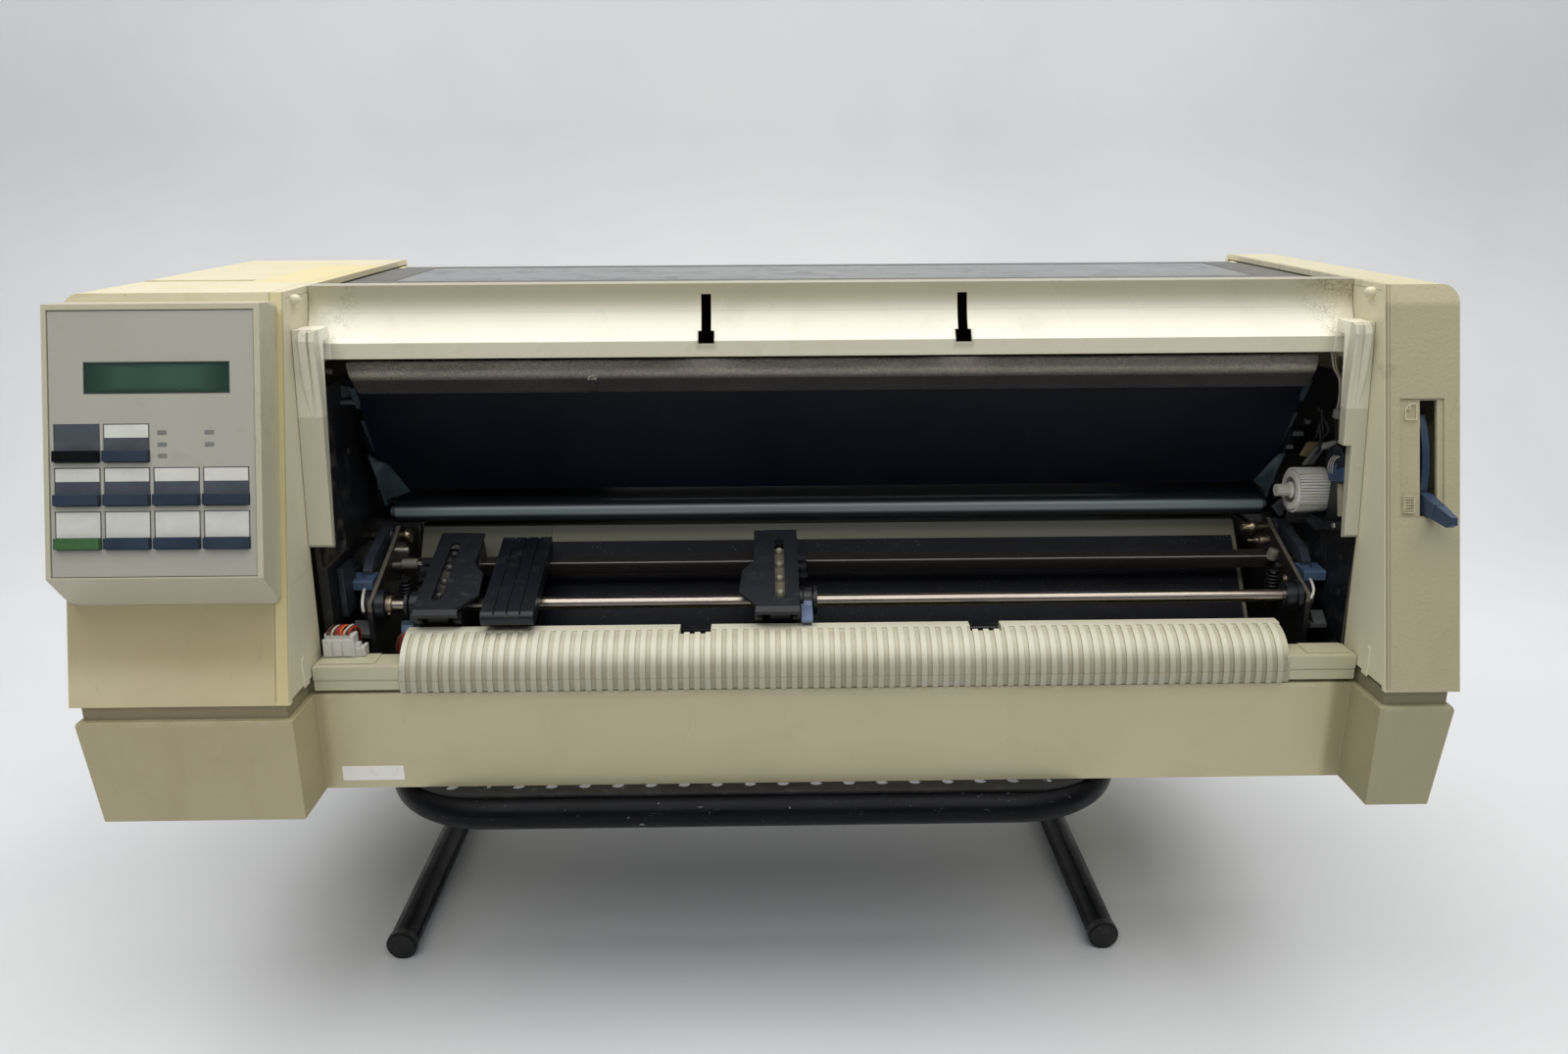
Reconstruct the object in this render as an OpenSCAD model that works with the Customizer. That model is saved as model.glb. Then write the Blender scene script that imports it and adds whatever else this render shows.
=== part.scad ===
// Wide-carriage dot matrix forms printer on a bent tube stand.
// Millimetres. +Z up, front of the printer faces -Y, origin on the floor under the middle.

/* [Housing] */
// Half of the overall width of the casing
half_w = 342.5; // [342.5:0.5:350]
// Depth of the casing, front to back
depth = 330; // [326:1:345]
// Height of the casing above its own underside
case_h = 257; // [257:0.5:260]
// Wall thickness of the moulded casing
wall = 3; // [2.5:0.25:3.5]

/* [Stand] */
// Height of the casing's underside above the floor
stand_h = 140; // [125:1:160]
// Diameter of the stand tube
tube_d = 17; // [16:0.5:18]
// Distance between the two floor legs, centre to centre
leg_span = 422; // [418:1:426]
// Diameter of the shelf perforations
hole_d = 7; // [5:0.5:9]
// Pitch of the shelf perforations
hole_pitch = 17.6; // [16:0.2:20]

/* [Paper feed] */
// Diameter of the round support shaft
shaft_d = 7; // [6:0.5:8]
// Side of the square tractor drive shaft
square_s = 7.6; // [6.6:0.2:7.8]
// Rib pitch of the front paper guide
rib_pitch = 5.6; // [5:0.2:7]
// Platen roller diameter
platen_d = 32; // [28:1:34]

/* [Controls] */
// Width of one key bar
key_w = 21.2; // [19:0.2:21.6]
// Height of one key bar
key_h = 5.2; // [4.5:0.1:5.6]
// Column pitch of the keys
key_px = 23.2; // [23:0.1:23.4]
// Row pitch of the keys
key_pv = 20.6; // [20:0.1:21]
// How far a key bar stands above the overlay
key_proud = 2.8; // [2:0.1:3.4]

/* [Hidden] */
$fn = 48;
y_mid = 164.25;
slope = atan2(194, 56);          // front faces lean back from the vertical
bay_l = -235; bay_r = 305;       // inner faces of the paper bay
rs = shaft_d/2;
ax1 = [70, 88.7];                // support shaft, y and z
feed_tilt = 17.3;                // tractors climb towards the back
sp_u = 34.6;                     // drive shaft from the support shaft, along the climb
ax2 = [ax1[0]+sp_u*cos(feed_tilt), ax1[1]+sp_u*sin(feed_tilt)];
ax_g = [102, 139.6];             // feed gear axis
ax_p = [170, 112];               // platen axis
ax_r = [122.4, 111.6];           // pivot of the release arms
ax_h = [244.6, 250.6];           // top cover hinge axis
tz = -131.1;                     // floor leg centre height
tr = tube_d/2;
sx = -11;                        // stand centre across the width

// ---- helpers ----
module at() translate([0,-y_mid,stand_h]) children();
module yz(x0,x1) translate([x0,0,0]) rotate([90,0,90]) linear_extrude(x1-x0) children();
module xz(y0,y1) translate([0,y1,0]) rotate([90,0,0]) linear_extrude(y1-y0) children();
module front() translate([0,0,63]) rotate([slope,0,0]) children();
module rodx(x0,x1,yz_,r,f=48) translate([x0,yz_[0],yz_[1]]) rotate([0,90,0]) cylinder(r=r,h=x1-x0,$fn=f);
module rrect(x,y,w,h,r) { translate([x+r,y]) square([w-2*r,h]); translate([x,y+r]) square([w,h-2*r]);
  for (i=[0,1],j=[0,1]) translate([x+r+i*(w-2*r),y+r+j*(h-2*r)]) circle(r); }
module feed() translate([0,ax1[0],ax1[1]]) rotate([feed_tilt,0,0]) children();
module loop2(a,b,r,t) difference(){ // belt outline round two pulleys, in the plane
  d=[b[0]-a[0],b[1]-a[1]]; L=norm(d);
  translate(a) rotate(atan2(d[1],d[0])) union(){ circle(r+t); translate([L,0]) circle(r+t); translate([0,-r-t]) square([L,2*(r+t)]); }
  translate(a) rotate(atan2(d[1],d[0])) union(){ circle(r); translate([L,0]) circle(r); translate([0,-r]) square([L,2*r]); } }

// ---- casing ----
module base_pan() color([0.66,0.63,0.50]) at() difference(){
  union(){
    xz(0,depth) polygon([[-336,0],[336,0],[341.6,52.5],[340.6,54.7],[-340.6,54.7],[-341.6,52.5]]);
    xz(3,depth-3) polygon([[-338.5,54.5],[338.5,54.5],[338.5,62.7],[-338.5,62.7]]); }
  // recessed middle panel and the groove above it
  translate([bay_l,-1,-1]) cube([bay_r-bay_l-1,32,57]);
  translate([bay_l-3,-1,54.7]) cube([bay_r-bay_l+5,35,9]);
  // inside
  translate([-333,36,3]) cube([666,depth-39,70]);
  translate([-333,6,3]) cube([-bay_l*0+333+bay_l-3.5,31,70]);
  translate([bay_r+2.5,6,3]) cube([333-bay_r-2.5,31,70]);
  // sockets and switch in the back wall
  translate([-316.2,depth-5,21.8]) cube([28.4,8,24.4]);
  translate([-274.4,depth-5,21.6]) cube([13.8,8,24.8]);
  translate([149.8,depth-5,19.8]) cube([60.4,8,18.4]);
  // vent slots, left side and back
  for (i=[0:13]) translate([-345,120+i*9,14]) cube([14,3,26]);
  for (i=[0:17]) translate([-150+i*9,depth-5,16]) cube([3,8,28]);
}
module shell_o(x0,x1) yz(x0,x1) polygon([[0,63],[depth,63],[depth,150],[262,case_h],[56,case_h]]);
module shell_i(x0,x1) yz(x0,x1) polygon([[2.26,60],[depth-wall,60],[depth-wall,149.1],[260.3,case_h-wall],[58.26,case_h-wall]]);
module cheek(x0,x1) yz(x0,x1) polygon([[0.6,65],[45,65],[48.4,129],[61,167],[66,216],[104,216],[104,case_h-wall-0.2],[55.5,case_h-wall-0.2]]);
module left_housing() color([0.78,0.74,0.60]) at() {
  difference(){
    intersection(){ shell_o(-half_w,bay_l);
      xz(-2,depth+2) union(){ translate([-half_w,60]) square([half_w+bay_l,case_h-60-9]); translate([-half_w+9,60]) square([half_w+bay_l-9,case_h-60]); translate([-half_w+9,case_h-9]) circle(9); } }
    intersection(){ shell_i(-half_w+wall,bay_l+5);
      xz(-2,depth+2) union(){ translate([-half_w+wall,50]) square([half_w+bay_l+5,case_h-50-wall-6]); translate([-half_w+wall+6,50]) square([half_w+bay_l+5,case_h-50-wall]); translate([-half_w+wall+6,case_h-wall-6]) circle(6); } }
    // opening behind the control box
    front() translate([-331,72,-8]) cube([84,112,14]);
    // shallow bare badge recess on the top
    translate([-337,88,case_h-0.6]) cube([62,36,2]);
  }
  cheek(bay_l-3,bay_l);
  rodx(bay_l-0.5,bay_l+1.8,[66,252.3],2.6); translate([bay_l+1.8,66,252.3]) sphere(2.6);
}
module right_housing() color([0.76,0.72,0.59]) at() {
  difference(){
    intersection(){ shell_o(bay_r,half_w);
      xz(-2,depth+2) union(){ translate([bay_r-1,60]) square([half_w-bay_r+1,case_h-60-9]); translate([bay_r-1,60]) square([half_w-bay_r-8,case_h-60]); translate([half_w-9,case_h-9]) circle(9); } }
    intersection(){ shell_i(bay_r-5,half_w-wall);
      xz(-2,depth+2) union(){ translate([bay_r-9,50]) square([half_w-wall-bay_r+9,case_h-50-wall-6]); translate([bay_r-9,50]) square([half_w-wall-bay_r+3,case_h-50-wall]); translate([half_w-wall-6,case_h-wall-6]) circle(6); } }
    // lever recess and slot
    front() translate([312.7,86.6,-1]) cube([22,59,3]);
    front() translate([323,87.4,-6]) cube([8.6,57.4,9]);
  }
  cheek(bay_r,bay_r+3);
  rodx(bay_r-1.8,bay_r+0.5,[66,252.3],2.6); translate([bay_r-1.8,66,252.3]) sphere(2.6);
  // pivot pin of the select lever, standing in from the side wall
  rodx(322.6,half_w-2,[lv_p[0],lv_p[1]],3);
}
module rear_housing() color([0.76,0.72,0.59]) at() difference(){
  union(){
    yz(bay_l+0.2,bay_r-0.2) polygon([[249,247.5],[249,251.5],[265.5,251.5],[depth,150],[depth,63],[depth-wall,63],[depth-wall,149.1],[263.6,248.7],[252,248.7],[252,247.5]]);
    // hinge ears of the top cover
    for (x=[bay_l+1.2,bay_r-4.8]) yz(x,x+3.6) polygon([[240.6,246.4],[250.5,246.4],[250.5,253.6],[240.6,253.6]]); }
  for (s=[[bay_l-1,bay_l+6],[bay_r-6,bay_r+1]]) rodx(s[0],s[1],ax_h,2.05);
  // paper outlet slot in the sloping back
  translate([-190,283,218]) rotate([-57.6,0,0]) translate([0,-7,-12]) cube([450,14,24]);
  // cooling slots
  for (i=[0:19]) translate([-150+i*9,depth-6,80]) cube([3,9,46]);
}
module front_bezel() color([0.82,0.80,0.72]) at() {
  // coved beam
  difference(){
    yz(bay_l+0.3,bay_r-0.3) difference(){ translate([75,221]) square([25,case_h-221]); translate([48.3,case_h]) circle(38.7,$fn=96);
      difference(){ translate([78,218]) square([19,case_h-218-wall]); translate([48.3,case_h]) circle(41.7,$fn=96); } }
    for (x=[-33.4,98.9]) { translate([x,70,229]) cube([5,20,22.5]); translate([x-1.6,68,227.4]) cube([8.2,14,6.2]); }
  }
  // cheek flaps hanging from the beam, ribbed above and plain below
  for (m=[0,1]) wallx(m) {
    if (m==0) yz(0.3,12.6) flap_side(); else { yz(0.3,7.5) flap_side(); intersection(){ yz(0.3,11.6) flap_side(); translate([0,40,176.6]) cube([20,40,70]); } }
    difference(){
      union(){ for (u=m==0?[[4.6,8.6],[9.7,12.6]]:[[3.4,6.9],[9.9,11.6]]) yz(u[0],u[1]) polygon([[54.2,195.4],[54.2,233],[56.2,237.4],[60,238],[60,232],[55.6,196]]);
        yz(m==0?8.5:6.8,10) polygon([[54.2,195.4],[55.9,233],[57.4,237.2],[60,238],[60,232],[55.6,196]]); }
      xz(40,70) polygon(m==0?[[4.5,214],[4.6,213],[7.2,194],[4.5,194]]:[[3.3,214],[3.4,213],[5.8,194],[3.3,194]]); } }
}
module wallx(m) translate([m==0?bay_l:bay_r,0,0]) mirror([m,0,0]) children();
module flap_side() polygon([[46.5,130.4],[48.4,128.8],[49.8,128.8],[66,232],[75.2,232],[75.2,238],[59,238]]);
module front_apron() color([0.83,0.80,0.68]) at() {
  // side ledges
  difference(){ union(){ translate([bay_l+0.6,29.5,63]) cube([44.4,16.8,7]); translate([bay_l+3,33,69.9]) cube([28.4,12.6,0.9]); } translate([-229.6,33,60]) cube([24,10.6,9]); }
  difference(){ union(){ translate([bay_r-36.6,29.5,63]) cube([36,16.8,7]); translate([bay_r-25,33,69.9]) cube([22,12.6,0.9]); } translate([284,33,60]) cube([16,10.6,9]); }
  translate([bay_l+0.6,29.9,57]) cube([44.4,2.6,6.2]); translate([bay_r-36.6,29.9,57]) cube([36,2.6,6.2]);
  // ribbed quarter-round guide
  difference(){
    intersection(){
      yz(-190.6,270) union(){ difference(){ translate([50,60]) circle(22,$fn=96); translate([50,30]) square([40,70]); translate([20,30]) square([40,26]); } translate([49.9,56]) square([4,26]); }
      union(){ yz(-190.6,270) union(){ translate([50,60]) circle(21.1,$fn=96); translate([49,56]) square([6,25.1]); translate([47.2,76]) square([8,8]); }
        for (i=[0:81]) translate([-190.2+i*rib_pitch,20,50]) cube([rib_pitch*0.52,36,40]); } }
    yz(-187,266.6) union(){ difference(){ translate([50,60]) circle(18.6,$fn=96); translate([50,30]) square([40,70]); } translate([49.9,50]) square([1.6,28.6]); }
    yz(-195,275) translate([33.6,50]) square([2.8,13.1]);
    for (x=[-47,105.8]) translate([x,44.6,76]) cube([16.4,12,10]);
  }
}
module top_cover() color([0.30,0.30,0.30]) at() {
  difference(){
    union(){ translate([bay_l+1.4,101,250.4]) cube([bay_r-bay_l-2.8,141,3.2]);
      rodx(bay_l+5.6,bay_r-5.6,ax_h,3);
      translate([bay_l+5.6,241,249.4]) cube([bay_r-bay_l-11.2,3,2.6]);
      translate([bay_l+4,101,244]) cube([bay_r-bay_l-8,2,7]); }
    translate([-206,150,249]) cube([482,82,6]);
    translate([-209,147,251.6]) cube([488,88,4]);
    translate([bay_l,237.6,246]) cube([5.4,6,10]); translate([bay_r-5.4,237.6,246]) cube([5.4,6,10]);
  }
  for (s=[[bay_l+2,bay_l+6],[bay_r-6,bay_r-2]]) rodx(s[0],s[1],ax_h,2);
}
module cover_window() color([0.22,0.22,0.23,0.6]) at() translate([-208.8,147.2,251.7]) cube([487.6,87.6,1.8]);

// ---- control box ----
module cp_prof(a,b,c,d,w1,w0) rotate([90,0,90]) linear_extrude(101.9) polygon([[a,w0],[b,w1],[c,w1],[d,w0]]);
function ktop(r) = 137-key_pv*r;
function kx(c) = -335.4+key_px*c;
module control_panel() color([0.74,0.72,0.63]) at() front() difference(){
  intersection(){ translate([-340.2,0,0]) cp_prof(50.3,63.9,193.2,197.8,20,0.2);
    linear_extrude(21) rrect(-340.2,50.3,101.9,147.5,4); }
  intersection(){ translate([-337.8,0,0]) cp_prof(53.6,66.6,190.6,194.6,16.4,-1);
    translate([-337.8,50,-1]) cube([97,150,20]); }
  translate([-337.9,64.7,18.4]) cube([96.8,125.9,3]);
  translate([-321,151.5,10]) cube([68,14.4,12]);
  for (k=keys) translate([kx(k[0])-0.35,ktop(k[1])-17.7-0.35,10]) cube([key_w+0.7,key_h+0.7,12]);
}
module panel_overlay() color([0.66,0.65,0.60]) at() front() difference(){
  translate([-337.5,65,18.45]) cube([96,125.2,0.95]);
  translate([-320.9,151.6,18]) cube([67.8,14.2,2]);
  for (k=keys) translate([kx(k[0])-0.35,ktop(k[1])-17.7-0.35,18]) cube([key_w+0.7,key_h+0.7,2]);
}
module lcd_window() color([0.20,0.33,0.25]) at() front() { translate([-320.8,151.7,12.5]) cube([67.6,14,6.5]); translate([-325,148.5,8.8]) cube([76,20,3.6]); }
keys = [[0,0],[1,0],[0,1],[1,1],[2,1],[3,1],[0,2],[1,2],[2,2],[3,2]];
module keybar(i) at() front() translate([kx(keys[i][0]),ktop(keys[i][1])-17.7,0]) {
  difference(){ translate([0,0,14]) cube([key_w,key_h,19.4+key_proud-14]);
    translate([-1,-1,19.4+key_proud]) rotate([38,0,0]) translate([0,-3,0]) cube([key_w+2,4,3]); }
  translate([0,-1,14.6]) cube([key_w,key_h+2,1.5]); }
module key_menu() color([0.05,0.05,0.07]) keybar(0);
module key_tear() color([0.15,0.22,0.31]) keybar(1);
module key_font() color([0.15,0.22,0.31]) keybar(2);
module key_pitch() color([0.15,0.22,0.31]) keybar(3);
module key_next() color([0.15,0.22,0.31]) keybar(4);
module key_prev() color([0.15,0.22,0.31]) keybar(5);
module key_start() color([0.24,0.45,0.24]) keybar(6);
module key_load() color([0.15,0.22,0.31]) keybar(7);
module key_line() color([0.15,0.22,0.31]) keybar(8);
module key_form() color([0.15,0.22,0.31]) keybar(9);
module circuit_boards() color([0.10,0.30,0.16]) at() {
  front() { translate([-336,70,5.6]) cube([93,116,1.6]);
    for (k=keys) translate([kx(k[0])+7.6,ktop(k[1])-18,7.1]) cube([6,6,4.6]);
    translate([-325,148.5,7.1]) cube([76,20,1.6]); }
  translate([-140,150,12]) cube([350,150,1.6]);
  for (c=[[-120,170,30,30,4],[-60,180,40,14,5],[0,180,40,14,5],[60,180,40,14,5],[-60,215,40,14,5],[0,215,22,22,5],[120,170,50,12,22],[150,210,20,40,24],[-120,240,34,34,8]])
    translate([c[0],c[1],13.5]) cube([c[2],c[3],c[4]]);
  for (x=[60,82,104]) translate([x,250,13.5]) cylinder(r=8,h=24);
  for (x=[-130,200],y=[158,292]) translate([x,y,3.02]) cylinder(r=4,h=9.1);
}

// ---- paper select lever ----
lv_p = [0+116.4*cos(slope)+57*sin(slope), 63+116.4*sin(slope)-57*cos(slope)];
module select_lever() color([0.20,0.30,0.42]) at() translate([0,lv_p[0],lv_p[1]]) rotate([slope+22.4,0,0]) {
  difference(){
    union(){ rodx(324.2,330.2,[0,0],8);
      yz(324.8,329.6) polygon([[-4,0],[4,0],[3.4,70],[-3.4,70]]);
      // sector that keeps the slot closed
      yz(325.4,329) difference(){ circle(54.2,$fn=96); circle(44,$fn=96); translate([-60,-60]) square([120,60]); translate([-60,-60]) square([58,120]);
        rotate(44) translate([0,-60]) square([70,60]); } }
    rodx(320,335,[0,0],3.06);
  }
  // finger paddle
  difference(){ yz(324.6,330) polygon([[-4.6,56.6],[4.2,56.6],[3.2,70],[1.6,82],[-1.8,83.4],[-4.4,80]]);
    translate([322,-10,64]) rotate([0,8,0]) cube([2.4,20,24]); }
}

// ---- frames and guides ----
module side_frames() color([0.20,0.21,0.23]) at() {
  for (s=[[-231,-228.4,0],[316.4,319,1]]) difference(){
    union(){ yz(s[0],s[1]) polygon(s[2]==1 ? [[52,3.1],[312,3.1],[312,110],[280,190],[100,206],[68,206],[63,167],[52,128]]
        : [[50.5,3.1],[312,3.1],[312,110],[280,190],[100,206],[74,206],[77,176],[81,122],[76,116.6],[50.5,116.6]]);
      if (s[2]==0) yz(-233.6,-230.9) polygon([[50.5,20],[120,20],[120,206],[68,206],[63,167],[50.5,128]]); }
    rodx(s[0]-1,s[1]+1,ax_p,5.05); rodx(s[0]-1,s[1]+1,[205,152],6.05); rodx(s[0]-1,s[1]+1,[243,152],5.05);
    if (s[2]==1) rodx(s[0]-1,s[1]+1,ax_g,4.05); else rodx(s[0]-1,s[1]+1,[120,170],4);
    translate([s[0]-1,205,30]) cube([6,60,60]); }
  // shaft brackets standing on the base
  for (s=[[-213.6,-211],[288.8,291.4]]) difference(){
    yz(s[0],s[1]) polygon([[58,3.1],[129,3.1],[129,112],[121,118],[113,113.6],[72,97.4],[60,93]]);
    rodx(s[0]-1,s[1]+1,ax1,rs+0.02); rodx(s[0]-1,s[1]+1,ax2,4.05); rodx(s[0]-1,s[1]+1,ax_r,2.52); }
  // cross rails tying brackets to the plates
  translate([-228.5,104,10]) cube([15,20,16]); translate([291.3,104,10]) cube([25.2,20,16]);
  // feet of the brackets, bent outwards under the shaft ends
  for (s=[[-223,-213.5,-223,-213.5],[294.6,301.4,291.3,301.4]]) { yz(s[0],s[1]) polygon([[59,76],[66,81.6],[72,79],[72,76]]); yz(s[2],s[3]) polygon([[59,74],[72,74],[72,76.1],[59,76.1]]); }
}
module inner_brackets() color([0.30,0.36,0.38]) at() {
  // end brackets of the baffle
  for (m=[0,1]) { x = m==0 ? -222.6 : 291.6;
    yz(x,x+1.6) polygon([[132,127],[150,127],[150,166],[118,178],[109,172],[131,131]]);
    rodx(x-1.4,x+2.2,[131,140],3.2,6); }
  // folded triangular lips facing the front
  translate([0,133,134.5]) rotate([122.3,0,0]) translate([0,0,1.2]) linear_extrude(1.4) { polygon([[-222.6,-4],[-206.6,3],[-213,24],[-222.6,34]]);
    polygon([[293.2,-4],[293.2,32],[288.6,24],[282.6,5]]); }
  translate([-228.2,144,150]) cube([5.8,6,16]); translate([293,144,150]) cube([23.2,6,16]);
  // thin dark panel beside the right cheek, standing on the cross rail
  difference(){ yz(305.3,306.9) polygon([[49.8,64],[49.8,127],[63,168],[68,205],[82,205],[84,126],[132,126],[132,26],[104,26],[104,64]]);
    rodx(304,308,ax2,4.3); rodx(304,308,ax_r,2.52); }
  // dark lip behind the front guide
  yz(-187,262) polygon([[54.4,77.8],[58.5,77.8],[58.5,79.4],[54.4,79.4]]);
  yz(-187,262) polygon([[56,3.1],[58,3.1],[58,78],[56,78]]);
}
module baffle_panel() color([0.07,0.09,0.16]) at() {
  yz(-219,290) polygon([[92.4,203],[93.9,203.4],[136.4,136.6],[135,135.6],[130,137]]);
  yz(-219,290) polygon([[92.4,203],[93.9,203],[94.6,216],[93.4,216]]);
  translate([-219.2,150,168]) cube([509.2,1.6,1.6]);
  for (x=[-219,288.6]) yz(x,x+1.5) polygon([[94,203],[150,170],[150,160],[136.6,136.6]]);
}
module foam_strip() color([0.43,0.41,0.38]) at() yz(-222,294) polygon([[86,200.4],[92.2,200.4],[93,217.4],[90.4,217.6],[84.4,209.4]]);
module guide_bar() color([0.24,0.27,0.30]) at() {
  yz(-217,290.4) union(){ translate([137,121.8]) circle(6.4); polygon([[138,128.1],[149,132.4],[158,132.4],[158,130.2],[149,129.6],[141,117]]); }
  for (x=[-220.4,290.2]) rodx(x,x+3.6,[137,121.8],3);
}
module back_plate() color([0.70,0.67,0.54]) at() yz(-201.6,274.6) polygon([[88,54],[89.6,53.4],[134.4,111.6],[146,112.6],[146,114.2],[133.6,113.2]]);
module slide_sheet() color([0.09,0.11,0.18]) at() { yz(-127,271.8) polygon([[87.6,54.6],[126.9,105.2],[126.3,105.7],[86.9,55]]);
  yz(-198.6,-126.9) polygon([[87.6,54.6],[115.9,91],[115.3,91.5],[86.9,55]]); }
module support_shaft() color([0.80,0.80,0.80]) at() {
  rodx(-218.5,295.5,ax1,rs);
  for (s=[[-210.8,-206.4,8.4],[-217.6,-213.8,7.2],[280.4,286,7.2],[285.9,288.6,8.8],[291.6,294.2,8.2]]) rodx(s[0],s[1],ax1,s[2]);
}
module drive_shaft() color([0.45,0.42,0.38]) at() {
  translate([-205,ax2[0],ax2[1]]) rotate([12,0,0]) translate([0,-square_s/2,-square_s/2]) cube([488,square_s,square_s]);
  rodx(-217,-204.9,ax2,4); rodx(282.9,314.6,ax2,4);
  rodx(309.6,314,ax2,10.8); rodx(308.8,309.7,ax2,12);
}
module feed_gear() color([0.82,0.81,0.78]) at() {
  difference(){ union(){ rodx(292,314,ax_g,10.8);
      for (a=[0:15:345]) translate([0,ax_g[0],ax_g[1]]) rotate([a,0,0]) yz(293,309.6) polygon([[-1,10],[1,10],[0.6,12.6],[-0.6,12.6]]);
      for (a=[7.5:15:352.5]) translate([0,ax_g[0],ax_g[1]]) rotate([a,0,0]) yz(293,309.6) polygon([[-1,10],[1,10],[0.6,12.6],[-0.6,12.6]]);
      rodx(284,296,ax_g,3.4); rodx(313.9,319.4,ax_g,4); }
    difference(){ rodx(291,296,ax_g,7.4); rodx(290,297,ax_g,4.6); } }
}
module platen() color([0.10,0.10,0.11]) at() {
  rodx(-205,278,ax_p,platen_d/2,64);
  rodx(-231.6,-204.9,ax_p,5); rodx(277.9,319.6,ax_p,5); rodx(309.6,314,ax_p,10.8);
}

// ---- tractors: s = 1 opens to the left side, s = -1 mirrored ----
module tr_at(s) at() translate([s>0 ? -186 : 16.5,0,0]) mirror([s>0?0:1,0,0]) feed() children();
module tr_frame() {
  difference(){
    union(){
      for (x=[0,20]) yz(x,x+4) polygon([[-20,4],[-16,-2],[-12,-5],[-4,-10.4],[20,-10.4],[26,-8],[44,-8],[48,-2],[48,8],[-16,8]]);
      yz(3.9,20.1) polygon([[-4,-10.4],[20,-10.4],[20,-8.7],[-4,-8.7]]);
      yz(3.9,20.1) polygon([[-8,-4.6],[24,-4.6],[24,5.6],[-8,5.6]]);
      yz(3.9,20.1) polygon([[44,-8],[47.6,-2],[47.6,3],[45,3],[45,-2],[43,-6]]);
      rodx(-9.4,0.2,[0,0],7.8);
      // hinge ears of the door
      for (u=[[9,13],[25,28.6]]) yz(-4.6,0.2) polygon([[u[0],2],[u[1],2],[u[1],9],[u[0],9]]); }
    rodx(-12,30,[0,0],rs+0.07);
    rodx(-12,30,[sp_u,0],6.06);
    for (u=[8.4,24.4]) translate([-2.2,u,6]) rotate([-90,0,0]) cylinder(r=1.28,h=4.8);
    // recess for the lock lever ring
    rodx(-7.6,-1.6,[0,0],12);
  }
  // sleeve through the lever ring
  difference(){ rodx(-8,-1.4,[0,0],4.9); rodx(-12,30,[0,0],rs+0.07); }
}
module tr_belt() {
  difference(){
    translate([5,0,0]) rotate([90,0,90]) linear_extrude(11) loop2([-7,0],[sp_u,0],7.1,1.1); }
  for (i=[0:3]) translate([10.5,-5+i*12.7,8.1]) { cylinder(r=1.9,h=1.4); translate([0,0,1.4]) sphere(1.9); }
}
module tr_sprocket() difference(){
  union(){ rodx(4.6,19.4,[sp_u,0],6.8); rodx(-0.4,24.4,[sp_u,0],6); }
  translate([-4,sp_u,0]) rotate([12-feed_tilt,0,0]) translate([0,-square_s/2-0.1,-square_s/2-0.1]) cube([34,square_s+0.2,square_s+0.2]); }
module tr_door() {
  difference(){
    union(){
      translate([0,0,10.6]) linear_extrude(1.8) polygon([[0.4,50],[24.6,50],[24.6,20],[31,11],[32.4,-8],[22,-20.4],[0.4,-20.4]]);
      yz(0.4,23.6) polygon([[-20.4,10.7],[-20.4,8.6],[-22.4,8.2],[-22.8,10.6],[-20.4,12.4]]);
      // hinge arms down to the pin
      for (u=[13.6,20.4]) { yz(-4.1,-0.7) polygon([[u,4.8],[u+4,4.8],[u+4,12.4],[u,12.4]]); translate([-1,u,10.6]) cube([2,4,1.8]); } }
    translate([7.9,-10,9]) cube([5.2,48,5]); translate([10.5,-10,9]) cylinder(r=2.6,h=5); translate([10.5,38,9]) cylinder(r=2.6,h=5);
    translate([18,28,12.1]) cube([8,30,1]);
  }
  translate([-2.2,9.3,6]) rotate([-90,0,0]) cylinder(r=1.2,h=19);
}
module tr_lever(x0,x1,a) rotate([a,0,0]) difference(){
  union(){ rodx(-6.6,-1.9,[0,0],7.2);
    yz(-6.6,-1.9) polygon([[0,-6.6],[0,6.6],[-9,5],[-12,3],[-12,-3],[-8,-5.5]]);
    yz(x0,x1) polygon([[-8.3,4.4],[-13,5],[-21,4.6],[-22,3.4],[-21.4,1.4],[-14,-2.6],[-8.4,-4.4]]); }
  rodx(-12,0,[0,0],4.96); }
module left_tractor() color([0.10,0.10,0.11]) tr_at(1) tr_frame();
module right_tractor() color([0.10,0.10,0.11]) tr_at(-1) tr_frame();
module left_tractor_belt() color([0.62,0.61,0.58]) tr_at(1) tr_belt();
module right_tractor_belt() color([0.62,0.61,0.58]) tr_at(-1) tr_belt();
module left_tractor_sprocket() color([0.75,0.74,0.70]) tr_at(1) tr_sprocket();
module right_tractor_sprocket() color([0.75,0.74,0.70]) tr_at(-1) tr_sprocket();
module left_tractor_door() color([0.16,0.16,0.17]) tr_at(1) tr_door();
module right_tractor_door() color([0.16,0.16,0.17]) tr_at(-1) tr_door();
module left_tractor_lever() color([0.35,0.45,0.62]) tr_at(1) tr_lever(-11.4,-4.9,57);
module right_tractor_lever() color([0.35,0.45,0.62]) tr_at(-1) tr_lever(-6.6,-0.5,0);
module paper_support() color([0.10,0.10,0.11]) at() feed() difference(){
  union(){
    yz(-150,-122.6) union(){ polygon([[-22,4],[45,4],[45,12.4],[-22,12.4]]); translate([-22,8.2]) circle(4.2); }
    for (x=[-146,-129.6]) yz(x,x+3) polygon([[-18,4.1],[-15,-0.6],[-11,-3.6],[-3,-9],[44,-9],[44,4.1]]);
    rodx(-146,-126.6,[0,0],6.4); }
  for (i=[1:3]) translate([-150+i*6.85-0.5,-30,11.6]) cube([1,80,2]);
  rodx(-160,-110,[0,0],rs+0.07); rodx(-160,-110,[sp_u,0],6);
  translate([-142.9,-17,-1]) cube([13.2,60.5,5.1]);
}

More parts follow.
